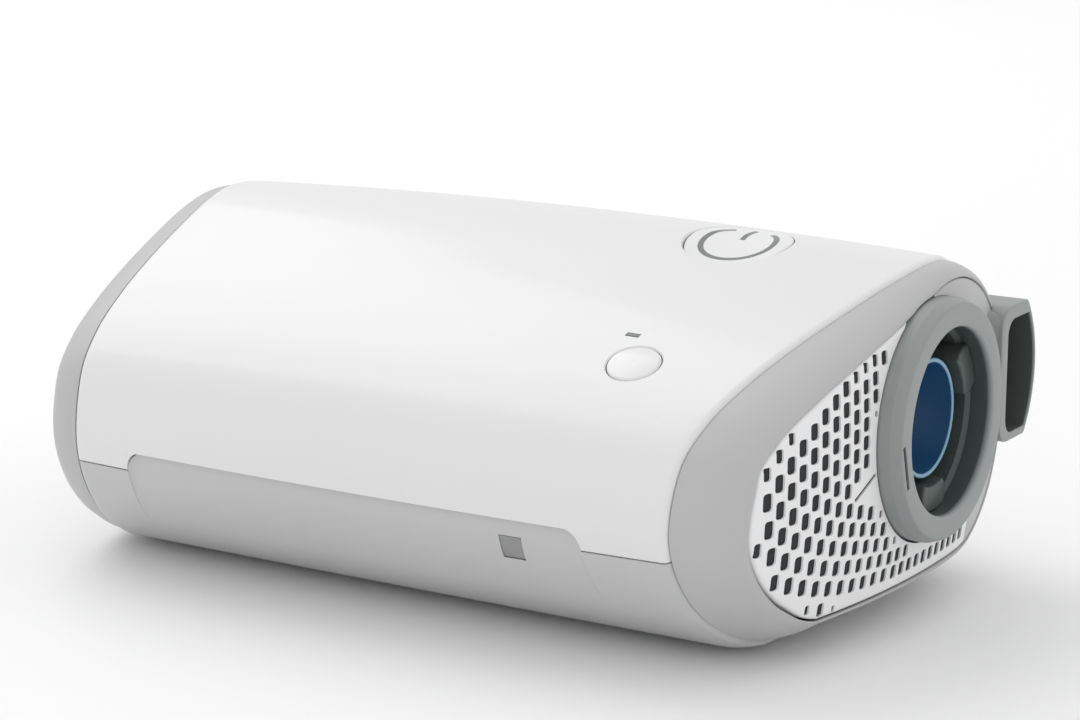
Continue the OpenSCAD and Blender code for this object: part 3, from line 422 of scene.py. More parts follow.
def sheet(name, outer, inner, material):
    """A closed sheet with thickness between two grids of points of the same size."""
    m, n = outer.shape[:2]
    top = np.arange(m * n).reshape(m, n)
    bottom = top + m * n
    faces = list(strip((m, n))) + [f[::-1] + m * n for f in strip((m, n))]
    for row in (np.s_[0], np.s_[-1], np.s_[:, 0], np.s_[:, -1]):
        a, b = top[row], bottom[row]
        faces += [[a[k], a[k + 1], b[k + 1], b[k]] for k in range(len(a) - 1)]
    points = np.concatenate([outer.reshape(-1, 3), inner.reshape(-1, 3)])
    return mesh_object(name, points, faces, material)


upper_shell = sheet("upper_shell_skin", shell_grid(True, False), shell_grid(True, True), shell_white)
lower_shell = sheet("lower_shell_skin", shell_grid(False, False), shell_grid(False, True), shell_pale)


# ---- Keys, light and window ---------------------------------------------------------------
# The start key is a shallow dish and the pairing key a low swell. Each stands in a hole with
# an eased edge, along the tilted axis on which it presses. A ring and bar mark the start key.
key_white = moulded("key_white", (0.76, 0.76, 0.765), 0.3, spread=0.01, coat=0.25)
light_lens = moulded("light_lens", (0.16, 0.17, 0.17), 0.3)
moulded("window_grey", (0.28, 0.28, 0.285), 0.3)
start_x = 32.3
start_y = 10
start_radius = 8
start_dish = 0.5
pairing_x = 35.8
pairing_y = -26
pairing_radius = 3.8
pairing_proud = 0.4
key_gap = 0.14
key_ease = 0.3
flange_top = -wall - 3
flange_base = flange_top - 0.8
flange_reach = 0.6
stem_radius = 2
stem_end = flange_base - 0.5
tilt = math.radians(17)
key_axis = np.array([0, -math.sin(tilt), math.cos(tilt)])
key_side = np.array([0, math.cos(tilt), math.sin(tilt)])
top_u = np.linspace(1, 9, 161)
turns = np.arange(144) / 144 * 2 * math.pi


def body_solid(name, first, rings, last, material):
    """A closed body of rings between two end points."""
    rings = np.array(rings)
    m, n = rings.shape[:2]
    j = np.arange(n)
    faces = [[m * n, a, b] for a, b in zip(j, (j + 1) % n)]
    faces += list(strip((m, n), around=True))
    faces += [[(m - 1) * n + b, (m - 1) * n + a, m * n + 1] for a, b in zip(j, (j + 1) % n)]
    points = np.concatenate([rings.reshape(-1, 3), [first, last]])
    return mesh_object(name, points, faces, material, smooth=40)


def skin_height(x, origin, side):
    """How far the case's skin lies along the key's axis, at X and an offset to the side."""
    skin = case_points(top_u, np.asarray(x, float)[:, None], 0) - origin
    across, along = skin @ key_side, skin @ key_axis
    return np.array([np.interp(b, row, high) for b, row, high in zip(side, across, along)])


def key_origin(x, y):
    skin = case_points(top_u, start_x, 0)
    return np.array([x, y, np.interp(y, skin[:, 1], skin[:, 2])])


def on_key(origin, a, b, h):
    """Points at offsets along X, to the key's side and along its axis."""
    return origin + np.outer(a, (1, 0, 0)) + np.outer(b, key_side) + np.outer(h, key_axis)


def key_ring(origin, radius, height):
    """A ring round the key's axis; height is a number, or a function of the skin and radius."""
    a, b = radius * np.cos(turns), radius * np.sin(turns)
    if callable(height):
        height = height(skin_height(origin[0] + a, origin, b), radius)
    return on_key(origin, a, b, height)


def key_solid(name, origin, radius, top):
    """A key's cap with an eased rim, its flange and its stem."""
    rings = [key_ring(origin, r, top) for r in np.linspace(0.04, 1, 30) * (radius - key_ease)]
    for a in np.radians(np.linspace(15, 90, 6)):
        edge = radius - key_ease * (1 - math.sin(a))
        drop = key_ease * (1 - math.cos(a))
        rings.append(key_ring(origin, edge, lambda h, r: top(h, r) - drop))
    flange = radius + flange_reach
    rings += [key_ring(origin, radius, flange_top), key_ring(origin, flange, flange_top)]
    rings += [key_ring(origin, flange, flange_base), key_ring(origin, stem_radius, flange_base)]
    rings.append(key_ring(origin, stem_radius, stem_end))
    middle = origin + key_axis * top(np.zeros(1), 0)
    return body_solid(name, middle, rings, origin + stem_end * key_axis, key_white)


ball = (start_radius**2 + start_dish**2) / (2 * start_dish)


def start_top(skin, radius):
    """The lower of the skin and a shallow ball, with a soft line where they meet."""
    dish = ball - start_dish - math.sqrt(ball**2 - radius**2)
    return (skin + dish - np.sqrt((skin - dish) ** 2 + 0.02)) / 2


def pairing_top(skin, radius):
    return skin + pairing_proud * (1 - (radius / pairing_radius) ** 2)


body_of_node = {
    node: body for body, nodes in frame["record"]["behaviour"]["bodies"].items() for node in nodes
}


def finish_piece(thing, *nodes):
    """The piece rides on the body of the first node that it replaces, and those nodes are hidden."""
    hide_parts(*nodes)
    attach(thing, body_of_node[nodes[0]])


start_place = key_origin(start_x, start_y)
pairing_place = key_origin(pairing_x, pairing_y)
start_key = key_solid("start_button_skin", start_place, start_radius, start_top)
pairing_key = key_solid("pairing_button_skin", pairing_place, pairing_radius, pairing_top)
finish_piece(start_key, "start_button")
finish_piece(pairing_key, "pairing_button")

hole_depth = 6
hole_rise = 4
hole_ease = 0.3


def cut(thing, tool, operation="DIFFERENCE"):
    """Takes tool's solid out of thing's mesh, or adds it, and removes the tool."""
    modifier = thing.modifiers.new("cut", "BOOLEAN")
    modifier.operation = operation
    modifier.object = tool
    modifier.solver = "EXACT"
    plain = bpy.data.meshes.new_from_object(thing.evaluated_get(bpy.context.evaluated_depsgraph_get()))
    thing.modifiers.clear()
    plain.name = thing.name
    plain.shade_smooth()
    plain.set_sharp_from_angle(angle=math.radians(32))
    thing.data = plain
    bpy.data.objects.remove(tool)


def cut_key_hole(origin, radius):
    """Cuts a round hole with an eased edge through the upper shell."""
    eased = radius + hole_ease
    rings = [key_ring(origin, radius, -hole_depth), key_ring(origin, radius, lambda h, r: h - 0.2)]
    rings += [key_ring(origin, eased, lambda h, r: h + 0.1), key_ring(origin, eased, hole_rise)]
    first = origin - hole_depth * key_axis
    last = origin + hole_rise * key_axis
    cut(upper_shell, body_solid("hole", first, rings, last, shell_white))


cut_key_hole(start_place, start_radius + key_gap)
cut_key_hole(pairing_place, pairing_radius + key_gap)

lens_gap = 0.08
light_y = -20.2
light_half_wide = 1 + lens_gap
light_half_tall = 0.4 + lens_gap
light_place = key_origin(start_x, light_y)
light_a = np.array([-1, 1, 1, -1]) * light_half_wide
light_b = np.array([-1, -1, 1, 1]) * light_half_tall
light_floor = light_place - 5 * key_axis
light_roof = light_place + 3 * key_axis
light_rings = [on_key(place, light_a, light_b, 0) for place in (light_floor, light_roof)]
cut(upper_shell, body_solid("hole", light_floor, light_rings, light_roof, shell_white))
finish_piece(upper_shell, "upper_shell")

window_x = 25
window_side = 3.4
window_z = (scoop_top + 2 * seam_z) / 3 - window_side * 0.7
window_y = section(knot_count + front_at(window_z))[0]
window_half = window_side / 2 + lens_gap


def slab(name, low, high, material):
    """A closed box between two corners."""
    points = [(x, y, z) for x in (low[0], high[0]) for y in (low[1], high[1]) for z in (low[2], high[2])]
    faces = [(0, 1, 3, 2), (4, 6, 7, 5), (0, 4, 5, 1), (2, 3, 7, 6), (0, 2, 6, 4), (1, 5, 7, 3)]
    return mesh_object(name, points, faces, material)


window_low = (window_x - window_half, window_y - 1, window_z - window_half)
window_high = (window_x + window_half, window_y + 6, window_z + window_half)
cut(lower_shell, slab("hole", window_low, window_high, shell_pale))
finish_piece(lower_shell, "lower_shell")

mark_top = 0.03
mark_base = 0.005


def key_mark(name, path, width):
    """A thin line on the start key's dish along a path of offsets (a, b) from its middle."""
    run = np.gradient(path, axis=0)
    run /= np.linalg.norm(run, axis=1, keepdims=True)
    left = np.stack([-run[:, 1], run[:, 0]], -1) * width / 2
    layers = []
    for lift in (mark_top, mark_base):
        columns = []
        for a, b in ((path + left * k).T for k in (-1, -0.5, 0, 0.5, 1)):
            skin = skin_height(start_x + a, start_place, b)
            h = np.array([start_top(s, r) for s, r in zip(skin, np.hypot(a, b))]) + lift
            columns.append(on_key(start_place, a, b, h))
        layers.append(np.stack(columns, 1))
    mark = sheet(name, *layers, light_lens)
    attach(mark, "start_key")


mark_turn = np.radians(np.linspace(121, 414, 90))
mark_bar = np.linspace(1.1, 5.6, 16)
key_mark("start_mark_ring", 5.55 * np.stack([np.cos(mark_turn), np.sin(mark_turn)], -1), 0.85)
key_mark("start_mark_bar", np.stack([0 * mark_bar, mark_bar], -1), 0.8)


# ---- Grey ends ----------------------------------------------------------------------------
# The bezel rolls over a wide quarter oval at the nose and a tight one along the top, and its
# inner edge is eased. The far cap is a shallow shell with the same roll and a slanted face.
end_grey = moulded("end_grey", (0.47, 0.47, 0.475), 0.42, spread=0.02)
port_y = 8
port_z = 29.3
port_middle = np.array([port_y, port_z])
port_radius = 17.4
ring_edge = port_radius + 0.3
dome_radius = 150
edge_step = 0.5
nose_round = 5
back_round = 4
top_round = 2.4
base_round = 2
cap_round = 3
hood_low = np.array([28.8, 20.9])
hood_high = np.array([41.6, 41.3])
hood_corner = 3.2
hood_bulge = 16.5
hood_arc = np.array([hood_high[0] - hood_bulge, (hood_low[1] + hood_high[1]) / 2])
tool_back = 50
tool_front = 80
round_u = np.arange(knot_count * 12) / 12


def bezel_round(u):
    """How wide the bezel's roll is, from its width at the nose, back, top and base."""
    n = outward(u)
    nose, back = np.minimum(0, n[..., 0]) ** 2, np.maximum(0, n[..., 0]) ** 2
    top, base = np.maximum(0, n[..., 1]) ** 2, np.minimum(0, n[..., 1]) ** 2
    return nose_round * nose + back_round * back + top_round * top + base_round * base


def dome_x(y, z):
    """The shallow dome of the port end."""
    return face_x - dome_radius + np.sqrt(dome_radius**2 - (y - port_y) ** 2 - (z - port_z) ** 2)


def prism(name, outline, back, front, material):
    """A closed prism along X over an outline of (y, z) points."""
    yz = np.asarray(outline, float)
    rings = [np.insert(yz, 0, x, axis=1) for x in (back, front)]
    middle = yz.mean(0)
    return body_solid(name, (back, *middle), rings, (front, *middle), material)


def port_tool(material, radius=ring_edge):
    """A tool for the port's round opening."""
    t = np.arange(160) / 160 * 2 * math.pi
    outline = np.stack([port_y + radius * np.cos(t), port_z + radius * np.sin(t)], -1)
    return prism("port", outline, tool_back, tool_front, material)


def grown(middle, furthest, outside):
    """The outline of a form about its middle, given which offsets lie outside the form."""
    away = np.stack([np.cos(turns), np.sin(turns)], -1)
    near, far = np.zeros(len(turns)), np.full(len(turns), furthest)
    for _ in range(30):
        reach = (near + far) / 2
        out = outside(away * reach[:, None])
        near, far = np.where(out, near, reach), np.where(out, reach, far)
    return middle + away * near[:, None]


def bowed_outline(low, high, corner, bulge, less):
    """A rectangle with round corners, cut at the back by the hood's large arc, drawn in by less."""
    middle = (low + high) / 2
    half = (high - low) / 2 - less

    def outside(offset):
        past = np.maximum(abs(offset) - half + corner - less, 0)
        past_corner = np.linalg.norm(past, axis=1) > corner - less
        past_arc = np.linalg.norm(middle + offset - hood_arc, axis=1) > bulge - less
        return past_corner | past_arc

    return grown(middle, 20.0, outside)


def hood_outline(less):
    return bowed_outline(hood_low, hood_high, hood_corner, hood_bulge, less)


def frame_solid(name, rings, material, smooth=40):
    """A closed frame whose rings run once round its wall and back to the first."""
    rings = np.array(rings)
    faces = strip(rings.shape[:2], around=True, along=True)
    return mesh_object(name, rings.reshape(-1, 3), faces, material, smooth)


rim_inset = bezel_round(round_u)
bezel_start = shell_right(round_u) + seam_gap / 2
bezel_rim = case_points(round_u, face_x - bezel_reach, rim_inset)
bezel_end = dome_x(bezel_rim[:, 1], bezel_rim[:, 2])
bezel_ease = 0.35
bezel_rings = [case_points(round_u, bezel_start, rim_inset)]
for a in np.radians(np.linspace(0, 84, 26)):
    x = bezel_start + (bezel_end - bezel_start) * math.sin(a)
    inset = edge_step + (rim_inset - edge_step) * (1 - math.cos(a))
    bezel_rings.append(case_points(round_u, x, inset))
for a in np.radians([0, 30, 60, 90]):
    x = bezel_end - bezel_ease * (1 - math.cos(a))
    inset = rim_inset - bezel_ease * (1 - math.sin(a)) * 0.6
    bezel_rings.append(case_points(round_u, x, inset))
bezel = frame_solid("port_bezel_skin", bezel_rings, end_grey)
cut(bezel, port_tool(end_grey))
cut(bezel, prism("hood", hood_outline(-0.2), 57, tool_front, end_grey))
finish_piece(bezel, "port_bezel")

cap_start = shell_left(round_u) - seam_gap / 2
cap_lap = cap_start + 3
cap_clear = wall + 0.1
face_rim = case_points(round_u, shell_left(round_u) - cap_depth, cap_round)
hub = np.array([float(far_face(crown_y / 2)), crown_y / 2, height / 2])


def on_face(share, back):
    """A ring on the slanted face, drawn in towards its middle, or the same ring behind the skin."""
    y = hub[1] + (face_rim[:, 1] - hub[1]) * share
    z = hub[2] + (face_rim[:, 2] - hub[2]) * share
    return np.stack([far_face(y) + back, y, z], -1)


cap_rings = [on_face(k, 0) for k in (0.15, 0.3, 0.45, 0.6, 0.72, 0.82, 0.9, 0.96)]
for a in np.radians(np.linspace(90, 0, 24)):
    x = cap_start + (far_face(face_rim[:, 1]) - cap_start) * math.sin(a)
    inset = edge_step + (cap_round - edge_step) * (1 - math.cos(a))
    cap_rings.append(case_points(round_u, x, inset))
cap_rings += [case_points(round_u, cap_start, cap_clear), case_points(round_u, cap_lap, cap_clear)]
cap_rings += [case_points(round_u, cap_lap, cap_clear + 1.5), on_face(0.93, wall), on_face(0.5, wall)]
cap = body_solid("far_end_cap_skin", hub, cap_rings, hub + (wall, 0, 0), end_grey)
finish_piece(cap, "far_end_cap")


# ---- Filter cover -------------------------------------------------------------------------
# A thin domed plate of white plastic wraps the front of the port. A node tree sets one rounded
# stamp at each bowed and fanned place to cut its slots. Close behind lies a near-black lining of
# painted shade, which makes the slots read as shadow.
cover_white = moulded("cover_white", (0.83, 0.83, 0.835), 0.42, spread=0.015)
# Near-black filter media: painted shade, so that the slots read as shadow.
filter_media = moulded("filter_media", (0.03, 0.032, 0.034), 0.95, 0.5 * MM, 0.1 * MM, 0.3)
cover_gap = 0.25
cover_thick = 0.28
cover_deep = 2.4
cover_ease = 0.6
cover_back_y = port_y + 16
part_gap = 0.2
cover_u = np.arange(knot_count * 20) / 20


def cover_rim(inset):
    return case_points(cover_u, face_x - bezel_reach, bezel_round(cover_u) + cover_gap + inset)[:, 1:]


around_port = cover_rim(0) - port_middle
around_port /= np.linalg.norm(around_port, axis=1, keepdims=True)


def dome_ring(share, inset, drop):
    """A ring between the cover's rim (0) and a small round in the port (1), below the dome."""
    outer, inner = cover_rim(inset), port_middle + around_port * 10
    yz = outer + (inner - outer) * share
    return np.insert(yz, 0, dome_x(yz[:, 0], yz[:, 1]) - drop, axis=1)


def trim(thing, gap, side):
    """Cuts away one side of the step that parts the cover from the plate behind it."""
    upper_y, lower_y, z = port_y - gap, cover_back_y - gap, port_z - gap
    outline = [(upper_y, 60), (upper_y, z), (lower_y, z), (lower_y, -5), (side, -5), (side, 60)]
    cut(thing, prism("trim", outline, tool_back, tool_front, thing.data.materials[0]))


def leaning_slit(low, high, lean, place):
    """A narrow rectangle between two corners, turned about a place on the port end."""
    corners = np.array([low, (high[0], low[1]), high, (low[0], high[1])])
    turned_by = np.array([(math.cos(lean), math.sin(lean)), (-math.sin(lean), math.cos(lean))])
    return corners @ turned_by + place


cover_rings = [dome_ring(0, 0, cover_deep)]
for a in np.radians(np.linspace(0, 90, 9)):
    cover_rings.append(dome_ring(0, cover_ease * (1 - math.cos(a)), cover_ease * (1 - math.sin(a))))
cover_rings += [dome_ring(s, cover_ease, 0) for s in np.linspace(0.04, 1, 20)]
cover_rings += [dome_ring(s, cover_ease, cover_thick) for s in np.linspace(1, 0, 12)]
cover_rings.append(dome_ring(0, cover_ease, cover_deep))
cover = frame_solid("filter_cover_skin", cover_rings, cover_white)

slot_first = port_y - port_radius - 0.3
slot_pitch = 2.3
slot_wide = 1.55
slot_tall = 2
slot_bow = 0.0171
slot_bow_fall = 0.0007
bow_z = port_z + 1.5
row_base = 6.8
row_pitch = 2.445
row_fan = 0.0615
row_lift = 0.014
row_lift_y = slot_first - 7
tab_z = port_z - 6.3
tab_half = 2.35
tab_reach = 3.9
land = 0.1
least_fit = 0.4


def lead(y):
    """How far y lies from the first column towards the nose."""
    return np.maximum(0, slot_first - y)


columns, rows = np.meshgrid(np.arange(-12, 13), np.arange(18), indexing="ij")
column_y = slot_first - slot_pitch * columns
row_curve = row_lift * np.minimum(0, column_y - row_lift_y) ** 2
slot_z = row_base + row_curve + rows * (row_pitch + row_fan * lead(column_y))
column_bow = slot_bow - slot_bow_fall * np.maximum(0, columns)
slot_y = column_y + column_bow * np.minimum(0, slot_z - bow_z) ** 2
slots = np.stack([slot_y, slot_z], -1).reshape(-1, 2)
y, z = slots.T
slot_size = np.stack([slot_wide + 0.012 * lead(y), slot_tall + 0.024 * lead(y)], -1)

rim = cover_rim(0)
along_rim = np.roll(rim, -1, axis=0) - rim
along_rim /= np.linalg.norm(along_rim, axis=1, keepdims=True)
to_slot = slots[:, None] - rim
side_depth = along_rim[:, 1] * to_slot[..., 0] - along_rim[:, 0] * to_slot[..., 1]
rim_depth = side_depth.min(1)
facing_rim = abs(along_rim[side_depth.argmin(1)])[:, ::-1]
fit_rim = (rim_depth - land) / (facing_rim * slot_size / 2).sum(1)
from_port = slots - port_middle
port_distance = np.linalg.norm(from_port, axis=1)
facing_port = abs(from_port) / port_distance[:, None]
fit_port = (port_distance - ring_edge - land) / (facing_port * slot_size / 2).sum(1)
fit = np.minimum(1, np.minimum(fit_rim, fit_port))
in_tab = (y > slot_first - tab_reach) & (y < port_y - port_radius * 0.7) & (abs(z - tab_z) < tab_half)
open_side = (y < port_y - 2.4) | ((y < cover_back_y - 1.4) & (z < port_z - 4))
kept = (fit > least_fit) & (rim_depth > 0) & ~in_tab & open_side
places = np.insert(slots[kept], 0, dome_x(y[kept], z[kept]), axis=1)
stretch = np.insert(slot_size[kept] * fit[kept, None], 0, 1, axis=1)


def stamped(name, shape, places, stretch, material):
    """One plain mesh of a copy of shape at each place, each stretched by its own amounts."""
    mesh = bpy.data.meshes.new(name)
    mesh.from_pydata((np.asarray(places) * MM).tolist(), [], [])
    mesh.attributes.new("stretch", "FLOAT_VECTOR", "POINT").data.foreach_set("vector", np.ravel(stretch))
    thing = bpy.data.objects.new(name, mesh)
    bpy.context.scene.collection.objects.link(thing)
    tree = bpy.data.node_groups.new(name, "GeometryNodeTree")
    tree.interface.new_socket("Places", in_out="INPUT", socket_type="NodeSocketGeometry")
    shape_input = tree.interface.new_socket("Shape", in_out="INPUT", socket_type="NodeSocketObject")
    finish_input = tree.interface.new_socket("Finish", in_out="INPUT", socket_type="NodeSocketMaterial")
    tree.interface.new_socket("Copies", in_out="OUTPUT", socket_type="NodeSocketGeometry")
    given = tree.nodes.new("NodeGroupInput")
    model = tree.nodes.new("GeometryNodeObjectInfo")
    own = tree.nodes.new("GeometryNodeInputNamedAttribute")
    own.data_type = "FLOAT_VECTOR"
    own.inputs["Name"].default_value = "stretch"
    copies = tree.nodes.new("GeometryNodeInstanceOnPoints")
    real = tree.nodes.new("GeometryNodeRealizeInstances")
    finished = tree.nodes.new("GeometryNodeSetMaterial")
    out = tree.nodes.new("NodeGroupOutput")
    for source, target in (
        (given.outputs["Places"], copies.inputs["Points"]),
        (given.outputs["Shape"], model.inputs["Object"]),
        (model.outputs["Geometry"], copies.inputs["Instance"]),
        (own.outputs["Attribute"], copies.inputs["Scale"]),
        (copies.outputs["Instances"], real.inputs["Geometry"]),
        (real.outputs["Geometry"], finished.inputs["Geometry"]),
        (given.outputs["Finish"], finished.inputs["Material"]),
        (finished.outputs["Geometry"], out.inputs["Copies"]),
    ):
        tree.links.new(source, target)
    modifier = thing.modifiers.new("copies", "NODES")
    modifier.node_group = tree
    modifier[shape_input.identifier] = shape
    modifier[finish_input.identifier] = material
    plain = bpy.data.meshes.new_from_object(thing.evaluated_get(bpy.context.evaluated_depsgraph_get()))
    thing.modifiers.clear()
    thing.data = plain
    bpy.data.objects.remove(shape)
    return thing


stamp_round_y = 0.3
stamp_round_z = 0.21
stamp_turn = np.radians(np.linspace(0, 90, 5))
stamp_outline = np.array([
    (sy * (0.5 - stamp_round_y * (1 - math.cos(t))), sz * (0.5 - stamp_round_z * (1 - math.sin(t))))
    for sy, sz, order in ((1, 1, 1), (-1, 1, -1), (-1, -1, 1), (1, -1, -1))
    for t in stamp_turn[::order]
])
stamp = prism("stamp", stamp_outline, -3, 1, cover_white)
cut(cover, stamped("slots", stamp, places, stretch, cover_white))
tab_slit = leaning_slit((0, -0.3), (5.6, 0.3), math.radians(31.465), (port_y - 22.2, port_z - 7))
cut(cover, prism("slit", tab_slit, 60, 70, cover_white))
trim(cover, part_gap, 60)
cut(cover, port_tool(cover_white))
finish_piece(cover, "filter_cover")

# The lining is a near-black sheet of painted shade just behind the cover's thin skin.
shade_lining_rings = [dome_ring(s, 0.62, 0.32) for s in (0, 0.25, 0.5, 0.75, 1)]
shade_lining_rings += [dome_ring(s, 0.62, 0.7) for s in (1, 0.75, 0.5, 0.25, 0)]
shade_lining = frame_solid("filter_lining", shade_lining_rings, filter_media)
trim(shade_lining, part_gap, 60)
cut(shade_lining, port_tool(filter_media))
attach(shade_lining, "cover")


# ---- Air port -----------------------------------------------------------------------------
# A turned grey collar has eased edges, a deep bore with round-headed lugs and a narrow slit.
# The blue nozzle stands on the same axis inside it, its rim pale with a painted highlight. The grey has
# painted shade where little light gets: in the bore, the slit and the hood's mouth.
face = length / 2
bore = 13.4
shoulder = bore - 0.6
bore_floor = 58.5
collar_back = 56.9
collar_slit_y = port_y - 15.2
collar_slit_z = port_z - 3.4
mouth_low = np.array([31.0, 22.1])
mouth_high = np.array([41.1, 39.3])
mouth_corner = 2.4
mouth_bulge = 15.9
hood_lip = face - 2
nozzle_radius = 8.6
throat = 7.9
nozzle_lip = face - 3.8


def grey_with_painted_shade():
    """Grey plastic with painted shade: much darker inside the port's bore, its slit and the hood's mouth.
    """
    made = Surface("collar_grey")
    x, y, z = (made.axis(k) for k in range(3))
    radius = ((y - port_y * MM) ** 2 + (z - port_z * MM) ** 2) ** 0.5
    bore_shade = (1 - radius.step(bore + 0.05, bore + 0.25)) * (1 - x.step(face - 1, face - 0.5))
    arc = ((y - float(hood_arc[0]) * MM) ** 2 + (z - float(hood_arc[1]) * MM) ** 2) ** 0.5
    wide = y.step(mouth_low[0] - 0.9, mouth_low[0] - 0.6) * (1 - arc.step(16.12, 16.28))
    tall = z.between(mouth_low[1] - 0.7, mouth_high[1] + 0.8, 0.3)
    mouth_shade = wide * tall * (1 - x.step(hood_lip - 0.4, hood_lip - 0.2))
    beside_slit = (1 - y.step(-6.3, -6.2)) * z.between(22.0, 29.8, 0.1)
    slit_shade = beside_slit * (1 - radius.step(16.4, 16.5)) * (1 - x.step(face - 0.4, face - 0.2))
    # Painted shade in the bore, the hood's mouth and the slit, with a slight random drift of tone.
    painted_shade = bore_shade + mouth_shade + slit_shade - made.noise(drift_size, 3.0) * 0.06 + 0.03
    made.feed("Base Color", made.blend(painted_shade, (0.27, 0.292, 0.288), (0.065, 0.08, 0.076)))
    made.gloss(0.42)
    made.bump(made.noise(fine_grain, 1.0), grain_depth)
    return made.data


def blue_with_painted_rim_highlight():
    """Deep blue plastic whose rim is pale with a painted highlight."""
    made = Surface("nozzle_blue")
    # The pale band along the nozzle's lip is a painted highlight.
    rim = made.axis(0).step(nozzle_lip - 0.25, nozzle_lip - 0.1) * 0.9 + made.noise(8 * MM) * 0.1
    made.feed("Base Color", made.blend(rim, (0.008, 0.06, 0.17), (0.22, 0.42, 0.55)))
    made.gloss(0.29)
    made.bump(made.noise(fine_grain, 1.0), 0.003 * MM)
    return made.data


collar_grey = grey_with_painted_shade()
nozzle_blue = blue_with_painted_rim_highlight()


def turned(name, profile, material):
    """Revolves (radius, x) points about the port's axis into a closed ring."""
    angles = np.arange(160) / 160 * 2 * math.pi
    rings = [
        np.stack([np.full(160, x), port_y + r * np.cos(angles), port_z + r * np.sin(angles)], -1)
        for r, x in profile
    ]
    return frame_solid(name, rings, material, smooth=32)


def bend(centre, radius, first, last, steps=6):
    """Points of an arc of a profile, with angles in degrees."""
    a = np.radians(np.linspace(first, last, steps))
    return [(centre[0] + radius * math.cos(t), centre[1] + radius * math.sin(t)) for t in a]


profile = [(shoulder, bore_floor), (shoulder, face - 4.1), (bore, face - 3.5)]
profile += bend((bore + 0.5, face - 0.5), 0.5, 180, 90)
profile += bend((port_radius - 0.85, face - 0.35), 0.35, 90, 20, 5)
profile += bend((port_radius - 0.3, face - 1.7), 0.3, 20, 0, 3)
profile += [(port_radius, collar_back), (shoulder, collar_back)]
collar = turned("outlet_collar_skin", profile, collar_grey)
flat_low = (57, port_y - 30, 0)
flat_high = (70, port_y + 30, port_z - port_radius + 0.4)
cut(collar, slab("flat", flat_low, flat_high, collar_grey))
collar_slit = leaning_slit((-0.4, -3.3), (0.4, 3.3), math.radians(15), (collar_slit_y, collar_slit_z))
cut(collar, prism("slit", collar_slit, face - 5, face + 1, collar_grey))

lug_place = 11.3
lug_radius = 3.7
lug_ease = 0.4
lug_shoulder = face - 3
lug_base = bore_floor - 0.3


def lug_outline(middle, less):
    """The outline of a round lug that the bore's wall and the nozzle's gap cut off."""

    def outside(offset):
        radius = np.linalg.norm(middle + offset, axis=1)
        past_lug = np.linalg.norm(offset, axis=1) - lug_radius
        return np.maximum(np.maximum(past_lug, radius - bore + 0.05), nozzle_radius + 1 - radius) > -less

    return port_middle + grown(middle, 5.0, outside)


for angle in np.radians([0, 118, 236]):
    middle = lug_place * np.array([math.sin(angle), -math.cos(angle)])
    lug_rings = [np.insert(lug_outline(middle, 0), 0, x, axis=1) for x in (lug_base, lug_shoulder)]
    for a in np.radians(np.linspace(15, 90, 6)):
        ring = lug_outline(middle, lug_ease * (1 - math.cos(a)))
        lug_rings.append(np.insert(ring, 0, lug_shoulder + lug_ease * math.sin(a), axis=1))
    first = (lug_base, *(port_middle + middle))
    last = (lug_shoulder + lug_ease, *(port_middle + middle))
    cut(collar, body_solid("lug", first, lug_rings, last, collar_grey), "UNION")
finish_piece(collar, "outlet_collar")

nozzle_base = bore_floor + 0.02
nozzle_ease = 0.3
profile = [(throat - 1.8, nozzle_base), (nozzle_radius, nozzle_base)]
profile += bend((nozzle_radius - nozzle_ease, nozzle_lip - nozzle_ease), nozzle_ease, 0, 90)
profile += bend((throat + nozzle_ease, nozzle_lip - nozzle_ease), nozzle_ease, 90, 180)
profile += [(throat - 0.6, nozzle_lip - 3)]
nozzle = turned("outlet_nozzle_skin", profile, nozzle_blue)
finish_piece(nozzle, "outlet_nozzle")


# ---- Power inlet --------------------------------------------------------------------------
# A light plate closes the back of the port end. A concave web runs from the collar's ring up
# to a thin bowed hood round the black power socket and its gilt contacts.
moulded("socket_black", (0.012, 0.012, 0.013), 0.5)
metal("contact_metal", (0.8, 0.62, 0.3), 0.25)
plate_back = 60.6
plate_front = 62.6
plate_ease = 0.3
plate_drop = 0.1
web_low = 21.2
web_high = 41.0
web_end = 2.4
web_front_y = 23.4
web_back_y = 29.6
hood_root = 57.3
hood_ease = 0.25
socket_floor = 58.98
wire_y = 33.6
wire_radius = 2.6

plate_rings = [np.insert(cover_rim(0), 0, plate_back, axis=1)]
for a in np.radians(np.linspace(0, 90, 6)):
    inset = plate_ease * (1 - math.cos(a))
    plate_rings.append(dome_ring(0, inset, plate_drop + plate_ease * (1 - math.sin(a))))
plate_rings += [dome_ring(s, plate_ease, plate_drop) for s in np.linspace(0.1, 1, 9)]
first = (plate_back, *port_middle)
last = (face_x - plate_drop, *port_middle)
plate = body_solid("inlet_plate", first, plate_rings, last, end_grey)

web_y = np.linspace(web_front_y, web_back_y, 22)
curl = np.clip((web_y - 24.6) / 4.2, 0, 1)
web_ends = np.linspace(0, web_end, 10)
web_middle = np.linspace(24.5, 37.5, 6)
web_rings = []
for z in np.concatenate([web_low + web_ends, web_middle, web_high - web_ends[::-1]]):
    d = min(1, min(z - web_low, web_high - z) / web_end)
    lift = 0.05 + 0.95 * math.sqrt(1 - (1 - d) ** 2)
    x = plate_front - 0.1 + lift * (0.3 + 2.9 * (1 - np.sqrt(1 - curl**2)))
    front = np.stack([x, web_y, np.full(len(x), z)], -1)
    web_rings.append(np.concatenate([front, [(61, web_back_y, z), (61, web_front_y, z)]]))
web = body_solid("web", web_rings[0].mean(0), web_rings, web_rings[-1].mean(0), collar_grey)
for piece in (plate, web):
    cut(piece, prism("hood", hood_outline(0.3), tool_back, tool_front, collar_grey))
    cut(piece, port_tool(collar_grey, port_radius + 0.05))
trim(plate, 0, -60)
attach(plate, "case")


def mouth_outline(less):
    return bowed_outline(mouth_low, mouth_high, mouth_corner, mouth_bulge, less)


